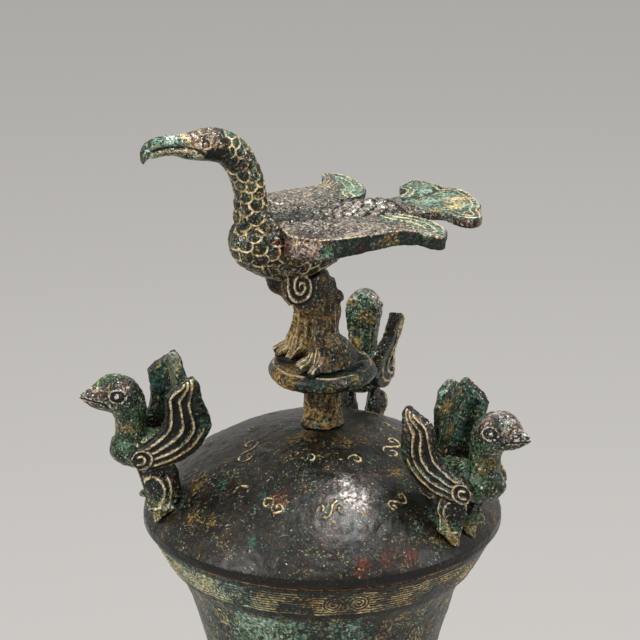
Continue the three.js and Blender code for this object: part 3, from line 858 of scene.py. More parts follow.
earthyBronze = oldBronze("earthCrustedBronze", patina["black"], [
    {"colour": patina["brown"], "size": 5, "above": 0.5, "edge": 0.08, "rough": 0.42},
    {"colour": patina["olive"], "size": 2.4, "above": 0.56, "edge": 0.06, "rough": 0.45, "strength": 0.8},
    place("teal", "deep", 5, draw=0.4, above=0.68, rough=0.32),
    place("teal", "teal", 1.8, draw=0.2, above=0.76, rough=0.38, strength=0.85),
    place("silver", "mauve", 1.4, draw=0.4, above=0.78, rough=0.3, metal=0.4, strength=0.8),
    place("red", "red", 2.0, draw=0.5, above=0.82, rough=0.5, edge=0.1),
    place("earth", "ochre", 3.4, draw=0.36, above=0.68, rough=0.7, crust=0.4, edge=0.1),
    place("earth", "rust", 2.8, draw=0.26, above=0.76, rough=0.7, edge=0.08, strength=0.8),
    place("earth", "tan", 2.2, draw=0.26, above=0.72, rough=0.75, crust=0.4, edge=0.08, strength=0.9),
    place("earth", "cream", 1.5, draw=0.18, above=0.8, rough=0.7, crust=0.3, edge=0.07, strength=0.8),
    place("earth", "black", 1.4, draw=0.14, above=0.7, rough=0.5, strength=0.85),
    place("pale", "sage", 1.4, draw=0.34, above=0.82, rough=0.7, strength=0.8),
    {**speckle, "above": 0.69}, {**greenDust, "above": 0.67}, {**paleDust, "above": 0.72}, blackDust,
    {**glint, "above": 0.74},
    {**grooveShade, "above": 0.95},
    ridgeTan, ridgeCream,
    {**wornRidgeAndHighlight, "strength": 0.6},
], gloss=0.32, relief=0.32)

post = buildPost()
toPlace(post, onRim)
dress(post, "lid", ["finial_post"], earthyBronze)
perch = buildPerch()
toPlace(perch, onRim)
dress(perch, "lid", ["perch_disc"], earthyBronze)
print("post and perch")


# Eagle, drawn in its own frame: x to the beak, y to its left, z up from the perch
eagleLook = {
    "turn": 206.6,
    "stand": 37.2,
    "voxel": 0.36,
    "wingVoxel": 0.31,
    "legVoxel": 0.34,
    "neckFeather": 4.2,
    "breastFeather": 5.3,
    "backFeather": 4.3,
    "featherLine": 0.95,
    "lineRise": 0.42,
    "domeRise": 0.42,
    "wingLine": 1.75,
    "arcStep": 3.3,
}

torsoStations = [
    (-31, 0, 21.5, 5.9, 1.3), (-22, 0, 21, 11, 3.1), (-10, 0, 18.4, 15, 6.8), (0, 0, 15.6, 16.6, 9.9),
    (12, 0, 12.8, 16.6, 12.8), (22, 0, 13.8, 15.2, 12.9), (31, 0, 17.4, 12.6, 11), (37, 0, 19.7, 8.6, 7.9),
    (40.4, 0, 20.5, 3, 2.9),
]
# The back lies over the roots of the wings and of the tail
mantleStations = [
    (-35, 0, 24.2, 10, 1.3), (-26, 0, 24.3, 12, 1.7), (-14, 0, 24.2, 15.4, 2.2), (0, 0, 24.1, 16.6, 2.4),
    (14, 0, 24, 15.8, 2.5), (23, 0, 23.2, 12, 3), (28, 0, 22.6, 7, 3),
]
neckStations = [
    (22, 0, 14.7, 9, 9), (30.5, 0, 24.9, 9.5, 8.3), (31.4, 0, 33.8, 6.9, 6.6), (33, 0, 43.6, 6.3, 6.5),
    (37.2, 0, 52.8, 6.3, 6.8), (44.5, 0, 58.6, 6.6, 6.8), (52, 0, 59.6, 6.3, 6.6), (58.5, 0, 59.9, 4.8, 5.4),
    (64, 0, 61, 3.5, 4.4), (70, 0, 61, 3, 4.3), (74.4, 0, 59.9, 2.3, 3.9), (76.6, 0, 57.6, 1.3, 2.2),
    (77, 0, 54.5, 0.4, 0.6),
]
bodyLine = np.array([(48, 0, 59), (40, 0, 56), (34.5, 0, 47), (31.8, 0, 36), (30, 0, 26), (22, 0, 17), (8, 0, 15),
                     (-10, 0, 18), (-31, 0, 21.5)], float)


def remeshed(pieces, name, voxel, soften):
    obj = joinPieces(pieces, name)
    finishWith(obj, "REMESH", mode="VOXEL", voxel_size=voxel, use_smooth_shade=True)
    finishWith(obj, "SMOOTH", factor=0.5, iterations=soften)
    return obj


def buildEagleBody():
    look = eagleLook
    torso = pullTube("torso", torsoStations, sides=24, parts=2, grow=1.015)
    neck = pullTube("neck", neckStations, sides=20, parts=2, grow=1.015)
    mantle = pullTube("mantle", mantleStations, sides=32, parts=2)
    brow = addLump((52, 0, 62.6), (5.4, 5.0, 3.2))
    obj = remeshed([torso, neck, mantle, brow], "eagleBody", look["voxel"], 5)
    points, normals = readPoints(obj), readNormals(obj)
    x, y, z = points.T
    side = np.abs(y)
    flat = points[:, [0, 2]]
    row = alongLine(points, bodyLine)
    head = ease(43, 46, x + 0.25 * (60 - z)) * ease(48, 51, z)
    topSide = ease(0.1, 0.5, normals[:, 2]) * ease(33, 27, x) * ease(18, 20, z)
    pitch = look["neckFeather"] + (look["breastFeather"] - look["neckFeather"]) * ease(20, 42, row)
    pitch = pitch + (look["backFeather"] - pitch) * topSide
    bent = points + 0.5 * np.stack([cloud(points, 3.5, seed) for seed in (43, 44, 45)], axis=1)
    line, dome, tone = featherField(bent, row, pitch, head < 0.6, look["featherLine"])
    scaly = 1 - head
    net = line * scaly * (1 - 0.8 * topSide)
    high = patches(points, [(-14, 3, 25, 9), (-22, 2, 25, 8), (-6, 6, 25, 6)])
    # Mouth, cere, lower jaw, eye and crown
    mouth = np.array([(73.8, 59.9), (71, 60.8), (66, 61.0), (60, 60.4), (56.5, 59.2), (54, 57.4)])
    onSide = ease(0.3, 0.65, np.abs(normals[:, 1]))
    lip = cut(fromLine(flat, mouth), 1.2) * onSide * (side > 0.3)
    jaw = cut(fromLine(flat, mouth - np.array([0, 1.6])), 1.6) * onSide
    cere = cut(fromLine(flat, np.array([(61, 66.2), (59.4, 63.6), (60.2, 61)])), 3.4)
    eyeGap = np.hypot(flat[:, 0] - 53, flat[:, 1] - 61.2)
    ring = cut(np.abs(eyeGap - 2.0), 0.9) * onSide
    bead = ease(1.4, 0.5, eyeGap) * onSide
    crown = ease(60, 57, x) * ease(44, 47, x) * ease(56, 60, z)
    onHead = (x > 43) * (z > 50)
    raised = np.maximum.reduce([0.6 * jaw, 0.5 * cere, 0.6 * ring]) * onHead
    cutIn = np.maximum(lip, 0.6 * cut(np.abs(eyeGap - 1.2), 0.8) * onSide) * onHead
    lumps = 0.14 * cloud(points, 5, 21) + 0.12 * cloud(points, 1.8, 22) + 0.12 * cloud(points, 1.0, 46)
    lumps = lumps + (0.34 * cloud(points, 2.2, 47) + 0.22 * cloud(points, 1.2, 48)) * crown * onHead
    cell = look["domeRise"] * (dome * (1 + 1.1 * topSide * (0.4 + high)) - 0.62) * scaly
    back = topSide * (0.16 * cloud(points, 2.1, 49) + 0.08 * cloud(points, 1.1, 52) - 0.5 * line - 0.1)
    move = lumps - 0.2 + cell + look["lineRise"] * net + back + 0.3 * raised - 0.7 * cutIn + 0.25 * bead * onHead
    writePoints(obj, points + normals * move[:, None])
    keepBends(obj)
    worn = np.clip(0.8 + 0.7 * cloud(points, 4, 50) + 0.4 * cloud(points, 1.3, 51), 0, 1)
    beak = ease(60, 62, x) * onHead
    over = ease(60.4, 61.4, z)
    patchy = ease(-0.3, 0.4, cloud(points, 4, 53))
    keepFields(
        obj,
        ridge=np.maximum(net * worn, raised * 0.7),
        # Cut lines and the low edges of the feather cells, which the finish darkens as painted shade
        groove=np.maximum(0.9 * cutIn, scaly * ease(0.45, 0.08, dome) * (1 - net) * (0.75 + 0.5 * topSide)),
        tone=tone * scaly * (1 - topSide),
        toneTwo=((tone * 37) % 1) * scaly * (1 - topSide),
        # Silver on the back: silvery patina on the feather domes, and painted top light on the upward faces and cell
        # tops
        silver=topSide * (0.35 + 0.7 * high) * ease(0.15, 0.6, dome),
        teal=beak * over * (0.55 + 0.6 * patchy) + patches(points, [(41, 2, 64, 4), (37, 3, 59, 3.5)]) + 0.45 * beak,
        pale=patches(points, [(74.6, 2, 59.2, 2.6), (74.6, -2, 59.2, 2.6), (57, 4.5, 57.5, 2.6)])
        + 0.6 * beak * over * (1 - patchy) * ease(72, 66, x),
        sun=(cere * onHead * 0.9 + 0.75 * jaw * onHead * ease(73, 70, x)) + 0.8 * patches(points, [(57, 5, 59.5, 2.4)]),
        blush=crown * onHead * (0.55 + 0.5 * patchy) + patches(points, [(56, 5, 58.5, 3), (56, -5, 58.5, 3)]),
        moss=beak * ease(60, 58.8, z) + patches(points, [(56, 3, 54.5, 4), (56, -3, 54.5, 4)]),
        # Painted shade: black round the eye socket and under the jaw
        dark=patches(points, [(47.5, 6, 57.6, 3), (47.5, -6, 57.6, 3), (45.2, 5.5, 62, 2), (45.2, -5.5, 62, 2),
                              (49.5, 0, 52.8, 3.4), (51, 6, 58, 2)]),
        earth=0.5 * patches(points, [(30, 8, 12, 12), (20, 10, 10, 9), (33, 4, 40, 9), (33, 0, 48, 6)])
        + 0.5 * net * ease(0.0, 0.5, cloud(points, 5, 54)),
        red=patches(points, [(25.5, 14, 20, 3.4), (24.5, 14, 17, 3.4), (25.5, -14, 20, 3)]),
    )
    return obj


# A copy of a solid, brought into the frame it was drawn in
def drawnCopy(name, matrix):
    obj = nodes[name].copy()
    obj.data = nodes[name].data.copy()
    obj.parent = None
    for key in [key for key in obj.keys() if key.startswith("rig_")]:
        del obj[key]
    bpy.context.scene.collection.objects.link(obj)
    obj.matrix_world = Matrix.Identity(4)
    obj.data.transform(matrix.inverted())
    if matrix.determinant() < 0:
        obj.data.flip_normals()
    pick(obj)
    bpy.ops.object.mode_set(mode="EDIT")
    bpy.ops.mesh.select_all(action="SELECT")
    bpy.ops.mesh.remove_doubles(threshold=0.001)
    bpy.ops.object.mode_set(mode="OBJECT")
    return obj


eaglePlace = onRim @ Matrix.Translation((0, 0, 64)) @ Matrix.Rotation(math.radians(eagleLook["turn"]), 4, "Z")
eagleUpper = eaglePlace @ Matrix.Translation((0, 0, eagleLook["stand"]))
mirrorY = Matrix.Scale(-1, 4, (0, 1, 0))

wingEdge = smoothLine([(25, 15), (25.5, 24), (18, 33), (6, 35.5), (-6, 36), (-15, 36.5), (-21, 41), (-24.5, 51.5)], 4)
wingHook = smoothLine([(-24.5, 51.5), (-29, 50), (-33.5, 43), (-34.5, 33), (-31.5, 22), (-27, 16.5)], 4)


# The left wing; the right one is drawn as its mirror image
def buildEagleWing(node, matrix, seed):
    look = eagleLook
    shoulder = addLump((19, 25.4, 20.2), (7.2, 6.8, 5.2), turn=-30)
    obj = remeshed([drawnCopy(node, matrix), shoulder], node + "Look", look["wingVoxel"], 24)
    points, normals = readPoints(obj), readNormals(obj)
    x, y, z = points.T
    flat = points[:, :2]
    toEdge = fromLine(flat, wingEdge)
    toHook = fromLine(flat, wingHook)
    upper = ease(0.35, 0.75, normals[:, 2])
    band = ease(0.3, 0.6, np.hypot(normals[:, 0], normals[:, 1])) * ease(25.4, 24.6, z)
    tip = ease(-8, -18, x)
    knob = np.clip(patches(points, [(20, 27, 20.5, 7.5)]) ** 0.5 * 1.3, 0, 1)
    # Fine raised lines follow the outer edge, and stronger ones come round the hook
    stripe = np.abs((toEdge / look["wingLine"]) % 1 - 0.5) * look["wingLine"]
    long = cut(stripe, 0.8) * upper * ease(9.5, 7, toEdge) * (0.15 + 0.85 * tip)
    curl = np.abs(((toHook - 0.3) / look["arcStep"]) % 1 - 0.5) * look["arcStep"]
    onHook = tip * ease(11.5, 10, toHook) * ease(3, 6, toEdge)
    arcs = cut(curl, 1.3) * upper * onHook
    long = long * (1 - onHook)
    rim = cut(np.abs(toEdge - 0.5), 0.9) * ease(0.2, 0.5, normals[:, 2])
    inner = upper * (1 - tip) * ease(4, 9, toEdge) * ease(-2, 8, x)
    tiles, dome, tone = featherField(points, 30 - x, np.full(len(points), 3.9), inner > 0.12, 0.9)
    grain = upper * (1 - onHook) * (0.24 * cloud(points, 1.5, seed + 2) + 0.16 * cloud(points, 0.9, seed + 3))
    lumps = 0.2 * cloud(points, 6, seed) + 0.14 * cloud(points, 2, seed + 1) + 0.1 * cloud(points, 1, seed + 4)
    ridge = np.maximum.reduce([long, arcs, 0.6 * rim])
    dip = np.maximum(onHook * upper * (1 - cut(curl, 2.6)), inner * tiles)
    move = lumps + grain - 0.36 + 0.42 * ridge - 0.35 * dip + 0.35 * dome * inner
    writePoints(obj, points + normals * move[:, None])
    keepBends(obj)
    worn = np.clip(0.75 + 0.7 * cloud(points, 5, seed + 5) + 0.4 * cloud(points, 1.5, seed + 6), 0, 1)
    keepFields(
        obj,
        ridge=np.maximum.reduce([0.85 * long, arcs, 0.75 * rim]) * worn,
        groove=np.maximum(0.8 * inner * tiles, 0.3 * dip),
        # Silver on the wing's upward face: silvery patina, and painted top light
        silver=upper * (0.85 + 0.3 * (1 - tip)) * (1 - 0.9 * onHook) * (1 - 0.4 * knob),
        plum=knob * (1 - 0.5 * upper),
        teal=band * (1 - knob) * 0.8 + 0.8 * onHook * upper + 0.3 * tip * band,
        leafy=patches(points, [(14.5, 33, 20.5, 3.6), (-17, 41, 22, 4)]) + 0.6 * onHook * upper,
        earth=patches(points, [(-11, 39, 22, 4.2), (-7, 38, 21, 3.0)]) + 0.2 * band * tip,
        pale=patches(points, [(3.5, 36, 21, 1.8), (-21, 45, 25, 4), (-5, 36.5, 20, 2.2)]) * 0.85
        + 0.5 * onHook * upper,
        red=patches(points, [(24.5, 18, 19.5, 4.2), (23, 15, 17, 3.5), (1, 36, 20, 3)]),
        # Painted shade: black on the wing's hanging side band, which faces away from the top lamp
        dark=band * (1 - knob) * (1 - patches(points, [(-11, 39, 22, 5), (14.5, 33, 20.5, 3.6)])),
    )
    return obj


tailOutline = [(-16, 10), (-26, 11.5), (-35, 12.3), (-43, 14), (-47, 18), (-46.5, 23), (-50.5, 29), (-55.5, 30.5),
               (-59, 26.5), (-61, 20), (-64.5, 16), (-67.5, 9), (-69.5, 0), (-69.5, -8), (-67, -14.5), (-64, -20),
               (-62.5, -27), (-58.5, -31), (-53, -29.5), (-46.5, -23), (-47, -18), (-43, -14), (-35, -12.3),
               (-26, -11.5), (-16, -10)]


def buildEagleTail():
    look = eagleLook
    obj = remeshed([drawnCopy("eagle_tail", eagleUpper)], "eagleTailLook", look["wingVoxel"], 24)
    points, normals = readPoints(obj), readNormals(obj)
    x, y, z = points.T
    upper = ease(0.35, 0.75, normals[:, 2])
    under = ease(0.35, 0.75, -normals[:, 2])
    toEdge = fromLine(points[:, :2], smoothLine(tailOutline, 4))
    far = ease(-36, -46, x)
    # Thin raised lines follow the outline, and feathers fan out to the end
    edgeLines = np.abs(((toEdge - 0.2) / 2.5) % 1 - 0.5) * 2.5
    nearEdge = ease(6.2, 4.6, toEdge) * ease(0.4, 0.9, toEdge)
    spread = y / np.interp(-x, [16, 40, 50, 66], [11, 13, 24, 26])
    fan = np.abs((spread * 2.5 + 0.3) % 1 - 0.5) * 8
    line = np.maximum(cut(edgeLines, 0.95) * nearEdge, 0.8 * cut(fan, 0.9) * (1 - nearEdge)) * far
    line = line * np.maximum(upper, 0.7 * under)
    tileArea = upper * (1 - far) * ease(1, 2, toEdge)
    tiles, dome, tone = featherField(points, 20 - x, np.full(len(points), 3.9), tileArea > 0.1, 0.9)
    # The end dips towards its middle and its corners swell
    swell = far * upper * (0.5 * ease(2, 9, toEdge) - 0.9 * cut(np.abs(y + 4) + 0 * x, 9) * ease(-64, -56, x))
    lumps = 0.24 * cloud(points, 6, 31) + 0.2 * cloud(points, 2.4, 32) + 0.14 * cloud(points, 1.1, 33) - 0.4
    fold = cut(fromLine(points[:, :2], np.array([(-46, -6), (-54, -10), (-62, -15)])), 3.4) * upper
    move = lumps + 0.38 * line - 0.9 * fold + tileArea * (0.6 * dome - 0.2 - 0.3 * tiles) + 0.6 * swell
    writePoints(obj, points + normals * move[:, None])
    keepBends(obj)
    worn = np.clip(0.7 + 0.7 * cloud(points, 5, 34) + 0.4 * cloud(points, 1.5, 35), 0, 1)
    patchy = ease(-0.3, 0.4, cloud(points, 6, 36))
    keepFields(
        obj,
        ridge=line * worn,
        groove=0.8 * tileArea * tiles + 0.7 * fold + 0.45 * far * upper * ease(0.15, 0.0, line) * ease(8, 6, toEdge),
        # Silver on the tail's upward tiles: silvery patina, and painted top light
        silver=tileArea + 0.4 * far * upper * (1 - patchy),
        teal=far * upper + 0.6 * far * under,
        pale=far * (upper * (0.35 + 0.4 * patchy + 0.4 * patches(points, [(-60, 4, 24, 9)])) + 0.4 * under),
        sun=upper * patches(points, [(-60, 4, 24.5, 6.5), (-54, 12, 24.5, 4), (-66, 2, 24.5, 4)]),
        plum=(1 - upper) * (1 - under) * 0.7,
        earth=0.7 * patches(points, [(-45, 12, 24, 4), (-62, 20, 22, 4)])
        + 0.55 * (1 - upper) * (1 - under) * ease(-50, -58, x),
    )
    return obj


def buildEagleLeg(node, matrix, seed, ochre):
    look = eagleLook
    boss = addLump((15.4, 7.6, 37.0), (6.6, 4.9, 9.2))
    knee = addLump((-1.6, 9.6, 29.6), (3.2, 3.4, 3.0))
    toes = []
    for share, aside in ((0.95, 26), (1.0, 0), (0.9, -24), (-1.0, 6)):
        reach = 16.5 * share
        toe = pullTube("toe", [
            (0, 0, 8.5, 2.6, 3.4), (0.18 * reach, 0, 5.6, 2.8, 3.4), (0.4 * reach, 0, 4.1, 2.9, 2.9),
            (0.65 * reach, 0, 2.7, 2.5, 2.5), (0.88 * reach, 0, 1.5, 2.1, 1.9), (reach, 0, 0.4, 1.1, 0.9),
        ], sides=14, parts=2)
        toe.data.transform(Matrix.Translation((0, 10, 0)) @ Matrix.Rotation(math.radians(aside), 4, "Z"))
        toes.append(toe)
    obj = remeshed([drawnCopy(node, matrix), boss, knee, *toes], node + "Look", look["legVoxel"], 8)
    points, normals = readPoints(obj), readNormals(obj)
    x, y, z = points.T
    outward = ease(0.1, 0.5, normals[:, 1])
    # A tall coil on the thigh, wound about twice
    fromCoil = np.hypot((x - 15.4) * 1.45, z - 37.0)
    coil = spiralCut((x - 15.4) * 1.45, z - 37.0, 3.5, 8.6, 1.6, start=1.2)
    coil = coil * outward * (z > 26)
    moat = ease(9.4, 8.4, fromCoil) * outward * (z > 26)
    # Each toe has a raised line on both sides of its ridge, from the shank to the claw
    lines = np.zeros(len(points))
    for aside in (26, 0, -24, 186):
        way = math.radians(aside)
        along = x * math.cos(way) + (y - 10) * math.sin(way)
        across = -x * math.sin(way) + (y - 10) * math.cos(way)
        width = np.interp(along, [0, 8, 16], [1.9, 1.7, 1.0])
        near = (along > 1.5) & (along < 15.8) & (np.abs(across) < 3.6)
        lines = np.maximum(lines, cut(np.abs(np.abs(across) - width), 1.1) * near)
        lines = np.maximum(lines, 0.8 * cut(np.abs(across), 0.9) * near * (along > 5))
    lines = lines * ease(0.0, 0.3, normals[:, 2]) * ease(11, 8, z)
    shin = np.abs((np.arctan2(y - 9.4, x) * 2.4 + 0.25) % 1 - 0.5) * 2.2
    shin = cut(shin, 0.8) * ease(0.7, 0.4, np.abs(normals[:, 2])) * ease(31, 27, z) * ease(5, 9, z)
    lumps = 0.26 * cloud(points, 4.5, seed) + 0.2 * cloud(points, 1.9, seed + 1) + 0.1 * cloud(points, 1.0, seed + 2)
    ridge = np.maximum.reduce([coil, lines, (0.35 + 0.4 * ochre) * shin])
    move = lumps - 0.36 + 0.5 * ridge - 0.5 * moat * (1 - coil)
    writePoints(obj, points + normals * move[:, None])
    keepBends(obj)
    worn = np.clip(0.8 + 0.6 * cloud(points, 4, seed + 3) + 0.3 * cloud(points, 1.5, seed + 4), 0, 1)
    patchy = ease(-0.4, 0.4, cloud(points, 3.5, seed + 5))
    keepFields(
        obj,
        ridge=np.maximum.reduce([coil, 0.95 * lines, (0.3 + 0.5 * ochre) * shin]) * worn,
        groove=np.maximum(moat * (1 - coil), 0.5 * ochre * ease(0.2, 0, shin) * ease(31, 27, z) * ease(5, 9, z)),
        earth=np.clip(ochre * ease(34, 24, z) * ease(0.3, 3, z) + (1 - ochre) * 0.4 * patchy, 0, 1),
        red=0.7 * patches(points, [(10, 12, 27, 4), (0, 13, 22, 3)]),
        teal=(1 - ochre) * ease(9, 4, z),
        silver=(1 - ochre) * (0.4 * patchy + patches(points, [(7, 14, 4, 5), (3, 14, 14, 4)])),
    )
    return obj


eagleBronze = oldBronze("agedBronzeEagleBody", patina["black"], [
    {"colour": patina["olive"], "size": 4, "above": 0.56, "edge": 0.08, "rough": 0.36, "strength": 0.9},
    {"colour": patina["deep"], "size": 2.6, "above": 0.54, "edge": 0.06, "rough": 0.33, "strength": 0.9},
    place("tone", "teal", 1.6, draw=0.18, above=0.72, edge=0.06, rough=0.36, strength=0.9),
    place("tone", "sage", 1.0, draw=0.14, above=0.76, edge=0.05, rough=0.45, strength=0.8),
    place("toneTwo", "mauve", 1.4, draw=0.26, above=0.8, edge=0.07, rough=0.32, metal=0.4, strength=0.8),
    # Silver layers: silvery patina, and painted highlight on the upward faces of the back
    place("silver", "mauve", 2.2, draw=0.4, above=0.68, edge=0.1, rough=0.34, metal=0.3),
    place("silver", "black", 1.5, draw=0.06, above=0.65, rough=0.34, strength=0.8),
    place("silver", "silver", 1.8, draw=0.3, above=0.76, edge=0.08, rough=0.3, metal=0.35, strength=0.95),
    place("silver", "white", 1.4, draw=0.3, above=0.86, edge=0.07, rough=0.28, metal=0.4, strength=0.95),
    place("blush", "plum", 2.0, draw=0.5, above=0.72, edge=0.1, rough=0.4),
    place("blush", "rose", 1.5, draw=0.36, above=0.76, edge=0.07, rough=0.45, strength=0.95),
    place("blush", "cream", 1.1, draw=0.26, above=0.78, edge=0.06, rough=0.45, strength=0.95),
    place("blush", "black", 1.2, draw=0.1, above=0.68, rough=0.4, strength=0.9),
    place("teal", "teal", 2.2, draw=0.5, above=0.7, edge=0.08, rough=0.42),
    place("teal", "sage", 1.4, draw=0.3, above=0.82, edge=0.07, rough=0.5, strength=0.8),
    place("moss", "leaf", 1.8, draw=0.5, above=0.74, edge=0.08, rough=0.5, strength=0.9),
    place("moss", "cream", 1.1, draw=0.26, above=0.82, edge=0.06, rough=0.55, strength=0.8),
    place("pale", "ice", 1.6, draw=0.5, above=0.78, edge=0.08, rough=0.45, strength=0.9),
    place("pale", "white", 1.2, draw=0.4, above=0.84, edge=0.08, rough=0.4, strength=0.9),
    place("sun", "rose", 2.0, draw=0.5, above=0.74, edge=0.1, rough=0.5, strength=0.8),
    place("sun", "cream", 1.3, draw=0.44, above=0.78, edge=0.08, rough=0.5, strength=0.95),
    place("earth", "ochre", 1.8, draw=0.34, above=0.74, edge=0.07, rough=0.7, crust=0.4, strength=0.85),
    place("earth", "cream", 1.1, draw=0.26, above=0.8, edge=0.06, rough=0.7, crust=0.3, strength=0.9),
    place("red", "red", 2.2, draw=0.6, above=0.82, edge=0.08, rough=0.45),
    {**speckle, "above": 0.68}, {**greenDust, "above": 0.65}, {**paleDust, "above": 0.71}, blackDust,
    {**glint, "above": 0.7},
    grooveShade, ridgeTan, ridgeCream,
    # Painted shade, laid in black
    place("dark", "black", 2, draw=0.6, above=0.8, edge=0.1, rough=0.45),
    wornRidgeAndHighlight,
], gloss=0.29)

wingBronze = oldBronze("agedBronzeWing", patina["black"], [
    {"colour": patina["brown"], "size": 7, "above": 0.53, "edge": 0.08, "rough": 0.38, "strength": 0.9},
    {"colour": patina["olive"], "size": 3.5, "above": 0.54, "edge": 0.06, "rough": 0.38, "strength": 0.9},
    # Silver layers: silvery patina, and painted top light on the upward faces of wings and tail
    place("silver", "mauve", 2.2, draw=0.4, above=0.66, edge=0.1, rough=0.38, metal=0.3),
    place("silver", "black", 1.6, draw=0.1, above=0.65, rough=0.38, strength=0.8),
    place("silver", "silver", 1.3, draw=0.2, above=0.76, edge=0.08, rough=0.34, metal=0.35, strength=0.75),
    place("silver", "cream", 1.2, draw=0.14, above=0.76, edge=0.07, rough=0.5, strength=0.7),
    place("plum", "plum", 3, draw=0.6, above=0.72, edge=0.1, rough=0.38, metal=0.3),
    place("plum", "rose", 1.4, draw=0.34, above=0.82, edge=0.07, rough=0.4, strength=0.8),
    place("plum", "silver", 1.0, draw=0.24, above=0.78, edge=0.05, rough=0.35, metal=0.3, strength=0.85),
    place("teal", "deep", 4, draw=0.5, above=0.72, edge=0.1, rough=0.36),
    place("teal", "teal", 1.8, draw=0.26, above=0.72, edge=0.07, rough=0.42, strength=0.9),
    place("leafy", "leaf", 1.5, draw=0.4, above=0.76, edge=0.06, rough=0.5, strength=0.9),
    place("leafy", "sage", 1.1, draw=0.26, above=0.76, edge=0.06, rough=0.5, strength=0.85),
    place("pale", "sage", 1.9, draw=0.42, above=0.7, edge=0.08, rough=0.55, strength=0.9),
    place("pale", "ice", 1.3, draw=0.3, above=0.76, edge=0.06, rough=0.6, strength=0.9),
    place("sun", "tan", 1.9, draw=0.5, above=0.76, edge=0.1, rough=0.6, strength=0.8),
    place("sun", "cream", 1.4, draw=0.44, above=0.8, edge=0.08, rough=0.6, strength=0.9),
    place("earth", "ochre", 2.0, draw=0.42, above=0.74, edge=0.07, rough=0.72, crust=0.5),
    place("earth", "tan", 1.5, draw=0.36, above=0.76, edge=0.06, rough=0.78, crust=0.4, strength=0.95),
    place("earth", "cream", 1.1, draw=0.3, above=0.82, edge=0.06, rough=0.8, crust=0.3, strength=0.9),
    place("red", "red", 2.0, draw=0.6, above=0.8, edge=0.08, rough=0.45),
    {**speckle, "above": 0.7}, {**greenDust, "above": 0.67}, {**paleDust, "above": 0.73}, blackDust,
    {**glint, "above": 0.73},
    {**hollowEarth, "above": 1.1},
    grooveShade, ridgeTan, ridgeCream,
    {**wornRidgeAndHighlight, "strength": 0.5},
    # Painted shade, laid in black
    place("dark", "black", 2.6, draw=0.36, above=0.72, edge=0.1, rough=0.42, strength=0.8),
], gloss=0.3)

eagleParts = [
    (buildEagleBody(), eagleUpper, "eagle_body", "bird_bronze", eagleBronze),
    (buildEagleWing("eagle_left_wing", eagleUpper, 24), eagleUpper, "eagle_left_wing", "wing_bronze", wingBronze),
    (buildEagleWing("eagle_right_wing", eagleUpper @ mirrorY, 27), eagleUpper @ mirrorY, "eagle_right_wing",
     "wing_bronze", wingBronze),
    (buildEagleTail(), eagleUpper, "eagle_tail", "wing_bronze", wingBronze),
    (buildEagleLeg("eagle_left_leg", eaglePlace, 34, 0.1), eaglePlace, "eagle_left_leg", "earthy_bronze", earthyBronze),
    (buildEagleLeg("eagle_right_leg", eaglePlace @ mirrorY, 37, 0.95), eaglePlace @ mirrorY, "eagle_right_leg",
     "earthy_bronze", earthyBronze),
]


def seat(obj, matrix, node, slot, material):
    toPlace(obj, matrix)
    if matrix.determinant() < 0:
        obj.data.flip_normals()
    obj.name = node + "Look"
    return dress(obj, "lid", [node], material)


for parts in eagleParts:
    piece = seat(*parts)
    print(piece.name, len(piece.data.polygons))


# Small birds, drawn in a frame with x the way they face, y to their left and z up from the hip
smallLook = {
    "voxel": 0.36,
    "wingVoxel": 0.33,
    "ring": 68,
    "hip": 15.9,
    "wingRoot": (13, 7),
    "wingScroll": (11.2, 8.4),
    "wingLine": 1.25,
}
smallBirds = [
    {"name": "left_bird", "stands": -74, "faces": -74, "lean": -1, "raise": 0.5, "droop": 0, "crown": 1.0, "opens": 0, "thicker": 1},
    {"name": "right_bird", "stands": 52, "faces": 52, "lean": 1, "raise": -3, "droop": 8, "crown": 0.0, "opens": 0, "thicker": 1},
    {"name": "back_bird", "stands": 165.3, "faces": 176, "lean": 0, "raise": 0, "droop": 4, "crown": 0.4, "opens": 8, "thicker": 1.25},
]

trunkStations = [
    (-13, 0, 10.5, 5, 4), (-8, 0, 9.5, 7.2, 6.5), (0, 0, 8.6, 8.5, 8.2), (9, 0, 8.8, 9, 8.6),
    (16, 0, 10.5, 8.4, 7.6), (19, 0, 12.5, 5, 5), (20.6, 0, 13.2, 1.5, 1.5),
]
headStations = [
    (12, 0, 10, 7.5, 7.5), (12.6, 0, 18, 6.6, 6.6), (12.8, 0, 25, 7, 7.2), (15.5, 0, 31.5, 8.2, 8.6),
    (20, 0, 33.6, 8, 8.6), (24.5, 0, 33, 6, 7), (28, 0, 32.8, 3.8, 5), (31.2, 0, 33, 2, 2.8),
    (34, 0, 33.1, 0.4, 0.5),
]


